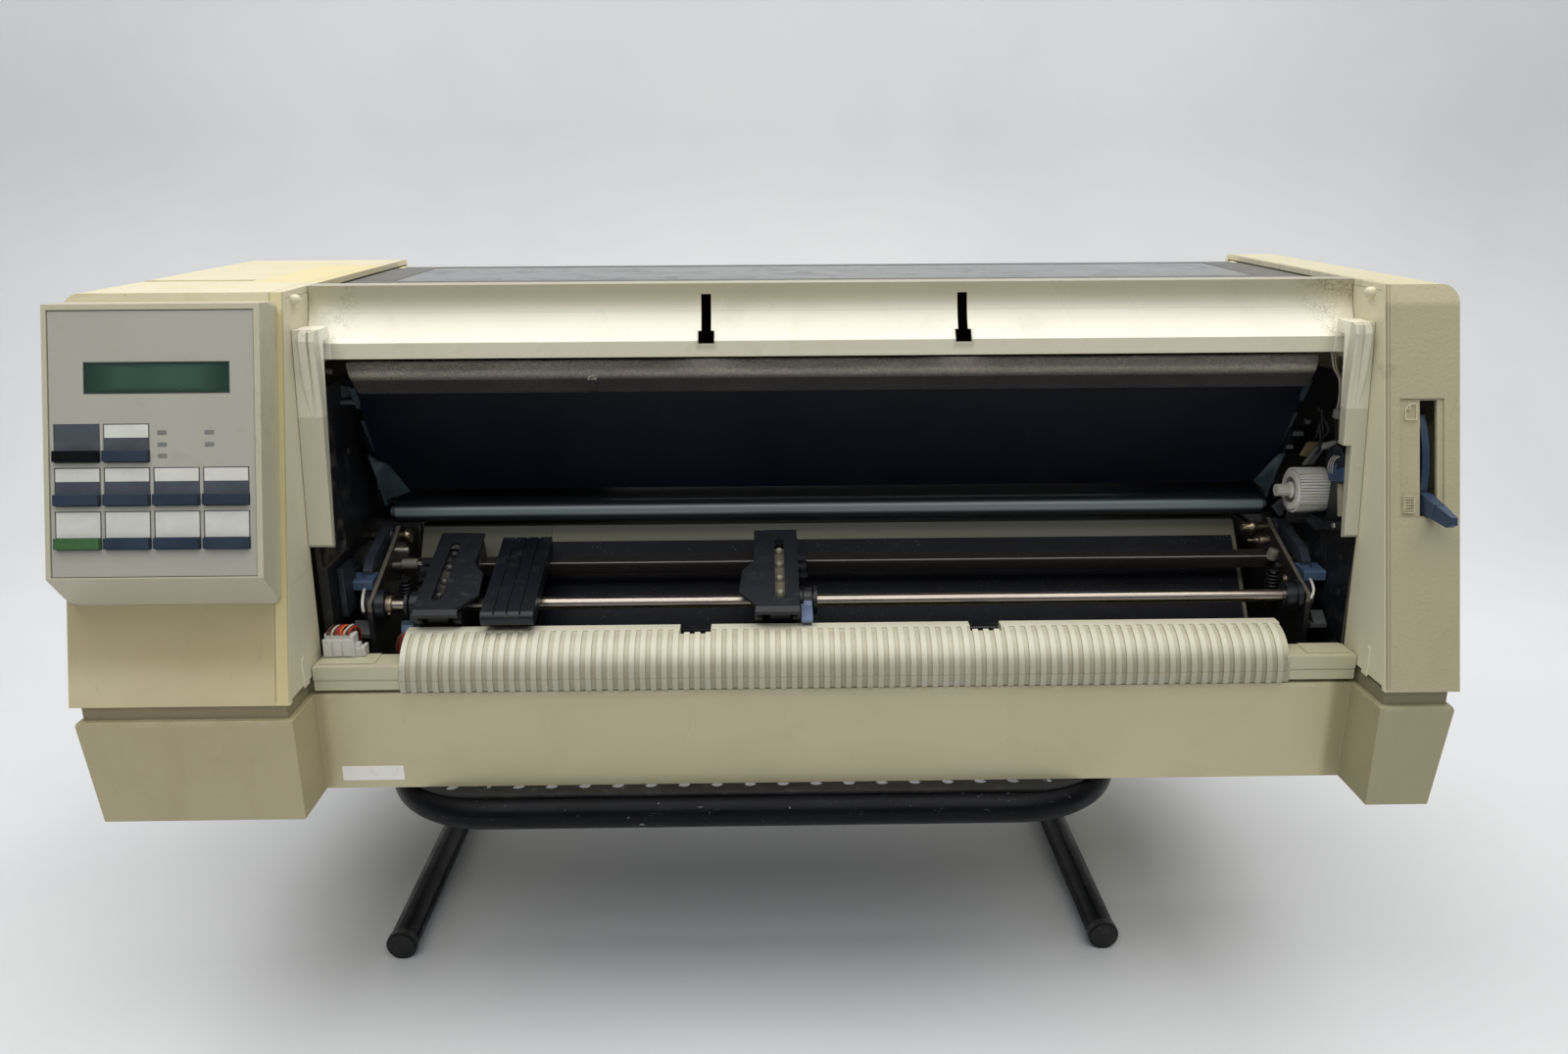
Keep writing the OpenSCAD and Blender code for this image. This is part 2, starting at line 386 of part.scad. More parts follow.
// ---- release handles ----
module release(x,t) difference(){
  union(){ yz(x,x+5) polygon([[125,106.6],[127.6,112],[124,117],[117,117],[88,109.8],[82,104],[82,99.4],[87,103],[112,105.6]]);
    yz(t,t+12) polygon([[86.6,101.8],[75,101],[74,100],[74,95.8],[84,96.4],[87.4,100]]);
    yz(x+1,x+4) polygon([[82,98],[78,98],[78.6,91.4],[81,91.4]]);
    rodx(x-0.8,x+5.8,ax_r,5.2); }
  rodx(x-3,x+9,ax_r,2.55); }
module left_release() color([0.28,0.30,0.33]) at() release(-221.6,-226.5);
module right_release() color([0.28,0.30,0.33]) at() release(294.6,292.8);
module release_springs() color([0.55,0.55,0.56]) at() {
  // pivot studs of the handles and the coil springs beside them
  rodx(-228.2,-206,ax_r,2.5); rodx(276,316.2,ax_r,2.5);
  for (x=[-209.6,280]) rodx(x,x+3.6,ax_r,4);
  for (x=[-202.6,284.4]) { for (i=[0:6]) translate([x,93,80.4+i*2]) rotate_extrude() translate([3.2,0]) circle(0.7,$fn=16);
    translate([x,93,72]) cylinder(r=2.5,h=23.4); }
}

// ---- print mechanism ----
cx0 = -150;
module carriage() color([0.15,0.15,0.16]) at() difference(){
  union(){ translate([cx0-35,153.6,140]) cube([70,100.4,24]); translate([cx0-10,253.9,148]) cube([20,7.4,10]);
    for (x=[cx0-35,cx0+31]) translate([x,153.6,163.9]) cube([4,56,8]); }
  rodx(cx0-40,cx0+40,[205,152],6.07); rodx(cx0-40,cx0+40,[243,152],5.3);
  translate([cx0-13.4,155.6,130]) cube([26.8,30.4,50]);
}
module print_head() color([0.18,0.18,0.19]) at() { translate([cx0-12.9,156,134]) cube([25.8,29.6,34]); translate([cx0-3,166,130.4]) cube([6,8,4]);
  for (i=[0:5]) translate([cx0-12.9,157+i*5,167.9]) cube([25.8,2,10]); }
module ribbon_cartridge() color([0.08,0.08,0.09]) at() difference(){
  union(){ translate([cx0-45,186,172.2]) cube([90,42,14]); for (x=[cx0-45,cx0+33]) translate([x,154,172.2]) cube([12,33,10]); }
  translate([cx0,207,168]) cylinder(r=6,h=30); }
module carriage_rails() color([0.75,0.75,0.76]) at() { rodx(-231.4,319.4,[205,152],6); rodx(-231.4,319.4,[243,152],5); }
module drive_belts() color([0.06,0.06,0.06]) at() {
  translate([0,268,150]) linear_extrude(6) loop2([-196,0],[290,0],5,1.2);
  yz(310.2,311.6) loop2(ax2,ax_g,11.1,1.1);
  yz(312.2,313.6) loop2(ax_g,ax_p,11.1,1.1);
  yz(310.2,311.6) loop2(ax_p,[272,40],11.1,1.1);
}
module motors() color([0.35,0.35,0.36]) at() {
  translate([-196,268,60]) cylinder(r=22,h=74); translate([-196,268,133.9]) cylinder(r=2.5,h=14); translate([-196,268,147.8]) cylinder(r=4.7,h=10);
  translate([290,268,147.8]) cylinder(r=4.7,h=10); translate([290,268,133]) cylinder(r=8,h=15);
  rodx(232,300,[272,40],26); rodx(299.9,309.7,[272,40],4); rodx(309.6,314,[272,40],10.8);
}
module power_unit() color([0.62,0.63,0.64]) at() difference(){
  translate([-330,180,3.2]) cube([90,124,100]);
  translate([-328.4,181.6,4.8]) cube([86.8,120.8,96.8]);
  for (i=[0:11]) translate([-332,190+i*9,30]) cube([96,3,50]);
}
module rear_sockets() color([0.08,0.08,0.09]) at() {
  difference(){ union(){ translate([-316,306.5,22]) cube([28,23.4,24]); }
    translate([-313.4,313,24.6]) cube([22.8,20,18.8]); }
  for (d=[[-307.4,34.6],[-302,30.6],[-296.6,34.6]]) translate([d[0],312.9,d[1]-1]) cube([2,14,4]);
  difference(){ translate([150,312,20]) cube([60,17.9,18]); translate([157,320,23.4]) cube([46,12,11.2]); }
  translate([159,319.9,26.4]) cube([42,7,5]);
  // cradle of the rocker switch
  for (x=[-277,-260.2]) difference(){ yz(x,x+2.2) polygon([[312,22],[326.8,22],[326.8,46],[312,46]]); rodx(x-1,x+4,[320,34],1.56); }
  translate([-277,310.2,22]) cube([19,1.9,24]);
}
module power_switch() color([0.09,0.09,0.10]) at() {
  rodx(-274,-261,[320,34],3.2); rodx(-276.8,-258.2,[320,34],1.5);
  yz(-273.6,-261.4) polygon([[318,34],[325,23.4],[328.8,24.4],[326.4,34],[328.8,43.6],[325,44.6]]);
}

// ---- stand ----
module bend(R,a0,a1,r) rotate([0,0,a0]) rotate_extrude(angle=a1-a0,$fn=64) translate([R,0]) circle(r,$fn=32);
lh = leg_span/2; R1 = 55; R2 = 42; lx = 194.6; ls = 2.2; ly0 = 21.6; ly1 = 281;
module stand_frame() color([0.10,0.10,0.11]) at() translate([sx,0,0]) {
  // top loop
  translate([ls,0,-2.1-tr]) {
    for (y=[ly0,ly1]) translate([-lx+R1,y,0]) rotate([0,90,0]) cylinder(r=tr,h=2*(lx-R1));
    for (x=[-lx,lx]) translate([x,ly0+R1,0]) rotate([-90,0,0]) cylinder(r=tr,h=ly1-ly0-2*R1);
    translate([-lx+R1,ly0+R1,0]) bend(R1,180,270,tr); translate([lx-R1,ly0+R1,0]) bend(R1,270,360,tr);
    translate([lx-R1,ly1-R1,0]) bend(R1,0,90,tr); translate([-lx+R1,ly1-R1,0]) bend(R1,90,180,tr); }
  // legs: along the floor, up at the back and forward again beside the loop
  for (s=[-1,1]) translate([s*lh,0,0]) {
    translate([0,79,tz]) rotate([-90,0,0]) cylinder(r=tr,h=300-R2-79);
    translate([0,300-R2,tz+R2]) rotate([90,0,90]) bend(R2,270,360,tr);
    translate([0,300,tz+R2]) cylinder(r=tr,h=-2.1-tr-R2-tz-R2);
    translate([0,300-R2,-2.1-tr-R2]) rotate([90,0,90]) bend(R2,0,90,tr);
    translate([0,120,-2.1-tr]) rotate([-90,0,0]) cylinder(r=tr,h=300-R2-120);
    // weld plates between leg and loop
    for (y=[135,230]) translate([s>0?-16:2,y,-2.1-tr-3]) cube([14,26,6]); }
}
module stand_shelf() color([0.09,0.09,0.10]) at() translate([sx,0,-2]) linear_extrude(1.95) difference(){
  rrect(ls-lx-1,ly0,2*lx+2,ly1-ly0,50);
  for (i=[0:20],j=[0:13]) if (!((i==0||i==20) && (j<=1||j>=12)) && !((i==1||i==19) && j==13))
    translate([-10*hole_pitch+i*hole_pitch,31.6+j*18]) circle(hole_d/2,$fn=24); }
module foot_caps() color([0.07,0.07,0.07]) at() translate([sx,0,0]) for (s=[-1,1]) translate([s*lh,0,tz]) {
  difference(){ union(){ translate([0,75,0]) rotate([-90,0,0]) cylinder(r=9.1,h=4); translate([0,73.8,0]) rotate([-90,0,0]) cylinder(r=8,h=1.3); }
    translate([-10,70,-12]) cube([20,12,3.1]); }
  difference(){ translate([0,236,0]) rotate([-90,0,0]) cylinder(r=9.6,h=14);
    translate([0,230,0]) rotate([-90,0,0]) cylinder(r=tr+0.02,h=30); translate([-12,230,-12]) cube([24,30,3.1]); translate([-12,230,2]) cube([24,30,12]); }
}

base_pan();
left_housing();
right_housing();
rear_housing();
front_bezel();
front_apron();
top_cover();
cover_window();
control_panel();
panel_overlay();
lcd_window();
key_menu();
key_tear();
key_font();
key_pitch();
key_next();
key_prev();
key_start();
key_load();
key_line();
key_form();
circuit_boards();
select_lever();
side_frames();
platen();
feed_gear();
baffle_panel();
foam_strip();
guide_bar();
inner_brackets();
back_plate();
slide_sheet();
support_shaft();
drive_shaft();
left_tractor();
left_tractor_belt();
left_tractor_sprocket();
left_tractor_door();
left_tractor_lever();
right_tractor();
right_tractor_belt();
right_tractor_sprocket();
right_tractor_door();
right_tractor_lever();
paper_support();
left_release();
right_release();
release_springs();
carriage();
print_head();
ribbon_cartridge();
carriage_rails();
drive_belts();
motors();
power_unit();
rear_sockets();
power_switch();
stand_frame();
stand_shelf();
foot_caps();
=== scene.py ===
import bpy, bmesh, math, random
from mathutils import Vector, Matrix, noise as mn


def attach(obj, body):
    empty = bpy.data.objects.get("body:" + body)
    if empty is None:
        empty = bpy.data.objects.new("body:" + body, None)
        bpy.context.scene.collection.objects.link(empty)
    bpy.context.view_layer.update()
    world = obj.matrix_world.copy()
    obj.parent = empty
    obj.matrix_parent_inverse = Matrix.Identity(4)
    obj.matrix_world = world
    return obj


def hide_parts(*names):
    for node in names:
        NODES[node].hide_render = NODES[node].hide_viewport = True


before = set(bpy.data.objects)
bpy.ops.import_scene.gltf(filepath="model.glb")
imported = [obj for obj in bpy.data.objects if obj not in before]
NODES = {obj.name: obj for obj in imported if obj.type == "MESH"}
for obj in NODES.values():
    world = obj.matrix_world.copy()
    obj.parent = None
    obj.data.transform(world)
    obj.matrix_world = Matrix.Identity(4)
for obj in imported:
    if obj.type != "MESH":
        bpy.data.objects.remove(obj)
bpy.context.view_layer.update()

random.seed(7)

# ------------------------------------------------------------------ frame of the printer, in millimetres
YM, SH = 164.25, 140.0
def pr(x, y, z):
    return Vector((x / 1000.0, (y - YM) / 1000.0, (z + SH) / 1000.0))
SC, SS = 0.27734, 0.96077            # cosine and sine of the fronts' slope
def fr(x, v, w):                     # on the sloping front: v up the slope, w out of it
    return pr(x, SC * v - SS * w, 63 + SS * v + SC * w)
FC, FS = math.cos(math.radians(17.3)), math.sin(math.radians(17.3))
def fd(x, u, w):                     # along the tractors' climb
    return pr(x, 70 + u * FC - w * FS, 88.7 + u * FS + w * FC)

def lin(c):
    out = []
    for v in c[:3]:
        v /= 255.0
        out.append(v / 12.92 if v <= 0.04045 else ((v + 0.055) / 1.055) ** 2.4)
    return (out[0], out[1], out[2], 1.0)

# ------------------------------------------------------------------ materials
class Mat:
    """A small helper that writes one procedural material in the part's own coordinates."""
    def __init__(s, name):
        s.m = bpy.data.materials.new(name); s.m.use_nodes = True
        s.nt = s.m.node_tree; s.nt.nodes.clear()
        s.out = s.n("ShaderNodeOutputMaterial"); s.b = s.n("ShaderNodeBsdfPrincipled")
        s.nt.links.new(s.b.outputs["BSDF"], s.out.inputs["Surface"])
        s.tc = s.n("ShaderNodeTexCoord"); s.o = s.tc.outputs["Object"]
        sp = s.n("ShaderNodeSeparateXYZ"); s.l(s.o, sp.inputs[0])
        s.x, s.y, s.z = sp.outputs
    def n(s, t): return s.nt.nodes.new(t)
    def l(s, a, b): s.nt.links.new(a, b)
    def put(s, sock, v):
        if isinstance(v, bpy.types.NodeSocket): s.l(v, sock)
        else: sock.default_value = v
    def stretch(s, sx, sy, sz, loc=(0, 0, 0), rot=(0, 0, 0)):
        q = s.n("ShaderNodeMapping"); s.l(s.o, q.inputs["Vector"])
        q.inputs["Scale"].default_value = (sx, sy, sz); q.inputs["Location"].default_value = loc
        q.inputs["Rotation"].default_value = rot
        return q.outputs[0]
    def noise(s, scale, detail=2.0, rough=0.5, dist=0.0, vec=None):
        q = s.n("ShaderNodeTexNoise"); s.l(vec or s.o, q.inputs["Vector"])
        q.inputs["Scale"].default_value = scale; q.inputs["Detail"].default_value = detail
        q.inputs["Roughness"].default_value = rough; q.inputs["Distortion"].default_value = dist
        return q.outputs["Fac"]
    def voro(s, scale, feature="F1", rand=1.0, vec=None, smooth=None):
        q = s.n("ShaderNodeTexVoronoi"); s.l(vec or s.o, q.inputs["Vector"])
        q.feature = feature; q.inputs["Scale"].default_value = scale
        q.inputs["Randomness"].default_value = rand
        return q.outputs["Distance"]
    def math(s, op, a, b=None, c=None, clamp=False):
        q = s.n("ShaderNodeMath"); q.operation = op; q.use_clamp = clamp
        s.put(q.inputs[0], a)
        if b is not None: s.put(q.inputs[1], b)
        if c is not None: s.put(q.inputs[2], c)
        return q.outputs[0]
    def rng(s, v, a, b, c=0.0, d=1.0, smooth=True):
        q = s.n("ShaderNodeMapRange"); q.interpolation_type = "SMOOTHSTEP" if smooth else "LINEAR"
        s.put(q.inputs["Value"], v)
        q.inputs["From Min"].default_value = a; q.inputs["From Max"].default_value = b
        q.inputs["To Min"].default_value = c; q.inputs["To Max"].default_value = d
        return q.outputs[0]
    def mix(s, f, a, b, mode="MIX"):
        q = s.n("ShaderNodeMix"); q.data_type = "RGBA"; q.blend_type = mode
        s.put(q.inputs[0], f); s.put(q.inputs[6], a); s.put(q.inputs[7], b)
        return q.outputs[2]
    def bump(s, h, strength=0.3, dist=0.0003, normal=None):
        q = s.n("ShaderNodeBump"); q.inputs["Strength"].default_value = strength
        q.inputs["Distance"].default_value = dist; s.l(h, q.inputs["Height"])
        if normal is not None: s.l(normal, q.inputs["Normal"])
        return q.outputs[0]
    # masks in printer millimetres
    def band(s, sock, mid, half, soft):
        """1 within half of mid, fading over soft; all in metres."""
        d = s.math("ABSOLUTE", s.math("SUBTRACT", sock, mid))
        return s.rng(d, half, half + soft, 1.0, 0.0)
    def soft_edge(s, radius):
        q = s.n("ShaderNodeBevel"); q.samples = 4; q.inputs["Radius"].default_value = radius; return q.outputs[0]
    def above(s, sock, a, soft): return s.rng(sock, a, a + soft)
    def below(s, sock, a, soft): return s.rng(sock, a - soft, a, 1.0, 0.0)
    def mul(s, *v):
        r = v[0]
        for q in v[1:]: r = s.math("MULTIPLY", r, q)
        return r
    def maxi(s, *v):
        r = v[0]
        for q in v[1:]: r = s.math("MAXIMUM", r, q)
        return r
    def done(s, col=None, rough=None, normal=None, **kw):
        if col is not None: s.put(s.b.inputs["Base Color"], col)
        if rough is not None: s.put(s.b.inputs["Roughness"], rough)
        if normal is not None: s.l(normal, s.b.inputs["Normal"])
        for k, v in kw.items(): s.put(s.b.inputs[k.replace("_", " ")], v)
        return s.m

def mm(v): return v / 1000.0
def PX(x): return x / 1000.0
def PY(y): return (y - YM) / 1000.0
def PZ(z): return (z + SH) / 1000.0

def aged(s, base, tint, amount=0.6, dirt=(120, 106, 74), dirt_amount=0.35, seed=(0, 0, 0)):
    """Moulded plastic gone unevenly yellow: broad cloudy change, faint rubbed smudges and tiny specks."""
    v = s.stretch(1, 1, 1, seed)
    cloud = s.rng(s.noise(3.2, 3, 0.55, 0.3, v), 0.35, 0.68)
    c = s.mix(s.math("MULTIPLY", cloud, amount), lin(base), lin(tint))
    mot = s.rng(s.noise(26, 5, 0.62, 0.6, v), 0.50, 0.78)
    c = s.mix(s.math("MULTIPLY", mot, 0.10), c, lin(dirt))
    smear = s.rng(s.noise(60, 4, 0.6, 1.2, s.stretch(1, 0.35, 0.3, seed)), 0.64, 0.80)
    c = s.mix(s.math("MULTIPLY", smear, dirt_amount * 0.55), c, lin(dirt))
    spk = s.rng(s.noise(420, 2, 0.6, 0, v), 0.735, 0.765)
    c = s.mix(s.math("MULTIPLY", spk, dirt_amount), c, lin((96, 84, 62)))
    return c

def fine_grain(s, scale=1500, strength=0.18, dist=0.00012, normal=None):
    g = s.math("ADD", s.noise(scale, 2, 0.6), s.math("MULTIPLY", s.voro(scale * 0.55), 0.6))
    return s.bump(g, strength, dist, normal)

def leather_grain(s, scale=520, strength=0.5, dist=0.0003, normal=None):
    a = s.voro(scale, "F1")
    b = s.noise(scale * 0.7, 3, 0.6, 0.8)
    return s.bump(s.math("ADD", a, s.math("MULTIPLY", b, 0.9)), strength, dist, normal)

M = {}

# left housing: fine grain, smoother inner cheek, a long moulded seam, a yellower patch on top
s = Mat("case_left")
c = aged(s, (221, 213, 182), (212, 201, 160), 0.7, seed=(1.3, 0.2, 0.7))
top = s.above(s.z, PZ(249), mm(6))
patch = s.mul(top, s.band(s.x, PX(-252), mm(17), mm(7)), s.band(s.y, PY(160), mm(46), mm(14)))
c = s.mix(s.math("MULTIPLY", patch, 0.55), c, lin((226, 205, 138)))
stain = s.mul(top, s.rng(s.noise(36, 3, 0.6, 0.8), 0.55, 0.7), s.below(s.x, PX(-262), mm(20)))
c = s.mix(s.math("MULTIPLY", stain, 0.30), c, lin((193, 168, 110)))
strip = s.mul(s.band(s.x, PX(-238.6), mm(2.6), mm(1.2)), s.below(s.y, PY(60), mm(3)))
c = s.mix(s.math("MULTIPLY", strip, 0.30), c, lin((214, 196, 136)))
seam = s.mul(s.band(s.x, PX(-235.5), mm(0.15), mm(0.25)), s.above(s.z, PZ(63.6), mm(1)))
seam = s.maxi(seam, s.mul(s.band(s.x, PX(-241.8), mm(0.12), mm(0.25)), s.above(s.z, PZ(63.6), mm(1))))
c = s.mix(s.math("MULTIPLY", seam, 0.45), c, lin((128, 116, 84)))
inner = s.above(s.x, PX(-235.12), mm(0.05))
c = s.mix(s.math("MULTIPLY", inner, 0.30), c, lin((222, 218, 198)))
mould = s.mul(s.band(s.z, PZ(118.6), mm(0.1), mm(0.2)), inner)
c = s.mix(s.math("MULTIPLY", mould, 0.25), c, lin((150, 138, 104)))
foot = s.mul(s.below(s.z, PZ(70), mm(8)), s.rng(s.noise(40, 3), 0.4, 0.7))
c = s.mix(s.math("MULTIPLY", foot, 0.05), c, lin((140, 126, 90)))
# painted shade: the sides and front below the top are darkened against the top, standing in for the weaker light on
# them
c = s.mix(s.mul(s.below(s.z, PZ(250), mm(4)), s.below(s.x, PX(-235.3), mm(0.3)), s.below(s.y, PY(170), mm(110))), c, (0.72, 0.68, 0.575, 1), "MULTIPLY")
c = s.mix(1.0, c, (0.92, 0.92, 0.95, 1), "MULTIPLY")
# painted shadow: a band below the control box is darkened, standing in for the box's shadow
c = s.mix(s.mul(s.above(s.z, PZ(74), mm(16)), s.below(s.z, PZ(150), mm(60)), s.below(s.x, PX(-242), mm(1))), c, (0.90, 0.88, 0.82, 1), "MULTIPLY")
# painted shade eased: the lower part of the sides and front is brightened again, so the painted front shade is weaker
# near the bottom
c = s.mix(s.mul(s.below(s.z, PZ(92), mm(24)), s.below(s.x, PX(-235.3), mm(0.3)), s.below(s.y, PY(170), mm(110))), c, (1.22, 1.22, 1.26, 1), "MULTIPLY")
c = s.mix(s.math("MULTIPLY", s.mul(strip, s.above(s.x, PX(-242), mm(0.2))), 0.50), c, lin((214, 200, 148)))
nb = fine_grain(s, 1400, 0.16, 0.00014)
nb = s.bump(s.math("SUBTRACT", 1.0, seam), 0.7, 0.0006, nb)
M["case_left"] = s.done(c, s.rng(s.noise(12, 3), 0.3, 0.7, 0.46, 0.56), nb, Specular_IOR_Level=0.42)

# right housing: coarse leather grain, double seam by the bay
s = Mat("case_right")
c = aged(s, (216, 208, 176), (207, 196, 156), 0.7, seed=(4.1, 2.2, 1.7))
s1 = s.mul(s.band(s.x, PX(306.0), mm(0.14), mm(0.25)), s.above(s.z, PZ(64), mm(1)))
s2 = s.mul(s.band(s.x, PX(307.6), mm(0.10), mm(0.25)), s.above(s.z, PZ(64), mm(1)))
inner = s.below(s.x, PX(305.12), mm(0.05))
c = s.mix(s.math("MULTIPLY", inner, 0.40), c, lin((224, 220, 200)))
c = s.mix(s.math("MULTIPLY", s1, 0.5), c, lin((126, 114, 82)))
c = s.mix(s.math("MULTIPLY", s2, 0.25), c, lin((126, 114, 82)))
rub = s.mul(s.above(s.z, PZ(196), mm(20)), s.below(s.x, PX(312), mm(3)), s.rng(s.noise(70, 4, 0.6, 1.0), 0.5, 0.72))
c = s.mix(s.math("MULTIPLY", rub, 0.22), c, lin((120, 106, 76)))
# painted shade: the sides and front below the top are darkened against the top, standing in for the weaker light on
# them
c = s.mix(s.mul(s.below(s.z, PZ(250), mm(4)), s.above(s.x, PX(305.2), mm(0.2)), s.below(s.y, PY(170), mm(110))), c, (0.74, 0.74, 0.75, 1), "MULTIPLY")
c = s.mix(s.above(s.x, PX(305.2), mm(0.2)), c, (0.84, 0.84, 0.85, 1), "MULTIPLY")
gh = s.math("ADD", s.voro(560), s.math("MULTIPLY", s.noise(392, 3, 0.6, 0.8), 0.9))
gh = s.math("MULTIPLY", gh, s.above(s.x, PX(308), mm(0.6)))
lf = s.bump(gh, 0.40, 0.00034)
nb = s.bump(s.math("SUBTRACT", 1.0, s.maxi(s1, s2)), 0.7, 0.0006, lf)
M["case_right"] = s.done(c, s.rng(s.noise(12, 3), 0.3, 0.7, 0.48, 0.6), nb, Specular_IOR_Level=0.42)

s = Mat("case_rear")
c = aged(s, (214, 205, 172), (206, 195, 154), 0.6, seed=(7.1, 3.2, 0.7))
M["case_rear"] = s.done(c, 0.55, leather_grain(s, 560, 0.25, 0.00025), Specular_IOR_Level=0.4)

# base pan: smooth, tanner, drip stains and soft scuffs
s = Mat("base_pan")
c = aged(s, (205, 195, 157), (196, 184, 142), 0.8, seed=(2.1, 5.2, 3.7))
drip = s.rng(s.noise(34, 4, 0.55, 0.4, s.stretch(1, 1, 0.12)), 0.58, 0.74)
c = s.mix(s.math("MULTIPLY", drip, 0.10), c, lin((172, 156, 112)))
grv = s.mul(s.above(s.z, PZ(54.6), mm(0.3)), s.band(s.z, PZ(58.5), mm(4.5), mm(0.5)))
c = s.mix(s.math("MULTIPLY", grv, 0.45), c, lin((110, 98, 68)))
edge = s.mul(s.band(s.z, PZ(53.6), mm(0.9), mm(0.8)), s.rng(s.noise(90, 4), 0.45, 0.65))
c = s.mix(s.math("MULTIPLY", edge, 0.35), c, lin((226, 217, 184)))
tb = s.mix(s.below(s.x, PX(-228), mm(6)), (0.88, 0.89, 0.92, 1), (0.69, 0.68, 0.66, 1))
tb = s.mix(s.above(s.x, PX(292), mm(6)), tb, (0.57, 0.57, 0.56, 1))
c = s.mix(1.0, c, tb, "MULTIPLY")
M["base_pan"] = s.done(c, s.rng(s.noise(16, 4), 0.3, 0.7, 0.40, 0.52), fine_grain(s, 1500, 0.10, 0.0001), Specular_IOR_Level=0.45)

# bezel: smooth cream beam, rubbed marks at the right end, a thin moulded line
s = Mat("bezel")
c = aged(s, (243, 239, 223), (236, 229, 206), 0.5, dirt_amount=0.14, seed=(0.1, 1.2, 2.7))
rt = s.mul(s.maxi(s.above(s.x, PX(266), mm(26)), s.math("MULTIPLY", s.below(s.x, PX(-204), mm(16)), 0.7)), s.above(s.z, PZ(226), mm(8)), s.rng(s.noise(46, 3, 0.55, 0.3), 0.46, 0.66), s.rng(s.noise(760, 3, 0.7, 0.0), 0.42, 0.60))
c = s.mix(s.math("MULTIPLY", rt, 0.50), c, lin((132, 112, 82)))
hang = s.mul(s.band(s.x, PX(32), mm(70), mm(40)), s.rng(s.noise(48, 3, 0.5, 0.5, s.stretch(1, 1, 0.25)), 0.55, 0.75))
c = s.mix(s.math("MULTIPLY", hang, 0.08), c, lin((180, 165, 125)))
slot = s.mul(s.maxi(s.band(s.x, PX(-30.9), mm(4.0), mm(2.4)), s.band(s.x, PX(101.4), mm(4.0), mm(2.4))), s.band(s.z, PZ(229), mm(3), mm(3)))
c = s.mix(s.math("MULTIPLY", slot, 0.30), c, lin((110, 98, 72)))
dy = s.math("SUBTRACT", s.y, PY(48.3)); dz = s.math("SUBTRACT", s.z, PZ(257))
rr = s.math("SQRT", s.math("ADD", s.math("MULTIPLY", dy, dy), s.math("MULTIPLY", dz, dz)))
# painted shade: the inside of the beam seen through the slots is painted near black, matte and without specular,
# standing in for the shade in there
hole = s.mul(s.above(rr, mm(39.5), mm(0.3)), s.above(s.y, PY(76.6), mm(0.5)), s.below(s.y, PY(99), mm(0.4)), s.above(s.z, PZ(221.3), mm(0.2)), s.below(s.z, PZ(253.9), mm(0.2)))
hair = s.mul(s.band(s.z, PZ(243.2), mm(0.08), mm(0.16)), s.below(rr, mm(39.3), mm(0.3)))
c = s.mix(s.math("MULTIPLY", hair, 0.28), c, lin((176, 164, 128)))
# painted shade: the upper part of the cove, which faces forward and down, is darkened against its lit lower part
c = s.mix(s.mul(s.above(s.z, PZ(236), mm(16)), s.above(s.y, PY(58), mm(2))), c, (0.455, 0.435, 0.355, 1), "MULTIPLY")
# painted shade: the forward-facing lip under the cove is darkened
lipm = s.mul(s.below(s.z, PZ(229.4), mm(0.5)), s.below(s.y, PY(76.0), mm(0.6)), s.above(s.x, PX(-222.3), mm(0.3)), s.below(s.x, PX(293.2), mm(0.3)))
c = s.mix(lipm, c, (0.75, 0.75, 0.68, 1), "MULTIPLY")
# painted shade: the side flaps, which face front, are darkened, the lower facet more than the upper
flap = s.mul(s.maxi(s.below(s.x, PX(-221.7), mm(0.6)), s.above(s.x, PX(292.6), mm(0.6))), s.below(s.y, PY(62), mm(2)))
c = s.mix(flap, c, s.mix(s.above(s.z, PZ(195.2), mm(0.3)), (0.55, 0.55, 0.49, 1), (0.70, 0.70, 0.66, 1)), "MULTIPLY")
c = s.mix(hole, c, lin((5, 5, 6)))
M["bezel"] = s.done(c, s.math("MAXIMUM", s.rng(s.noise(14, 3), 0.3, 0.7, 0.24, 0.34), s.math("MULTIPLY", hole, 0.9)), s.bump(s.noise(22, 3), 0.08, 0.0006, s.soft_edge(0.0004)), Specular_IOR_Level=s.math("MULTIPLY", s.math("SUBTRACT", 1.0, hole), 0.5))

# front paper guide: cream ribs over brownish grooves
s = Mat("apron")
c = aged(s, (215, 211, 191), (208, 201, 173), 0.6, dirt_amount=0.25, seed=(5.1, 1.2, 0.2))
dy = s.math("SUBTRACT", s.y, PY(50)); dz = s.math("SUBTRACT", s.z, PZ(60))
rad = s.math("SQRT", s.math("ADD", s.math("MULTIPLY", dy, dy), s.math("MULTIPLY", dz, dz)))
gro = s.rng(rad, mm(21.3), mm(21.75), 1.0, 0.0)
inx = s.band(s.x, PX(39.7), mm(230), mm(0.5))
gro = s.mul(gro, inx, s.below(s.y, PY(47.1), mm(0.2)))
stn = s.rng(s.noise(55, 4, 0.6, 0.6), 0.25, 0.75, 0.55, 1.0)
c = s.mix(s.math("MULTIPLY", s.mul(gro, stn), 0.55), c, lin((158, 148, 118)))
low = s.mul(s.band(s.z, PZ(62.4), mm(0.12), mm(0.22)), s.below(s.y, PY(34), mm(1)))
c = s.mix(s.math("MULTIPLY", low, 0.40), c, lin((150, 132, 94)))
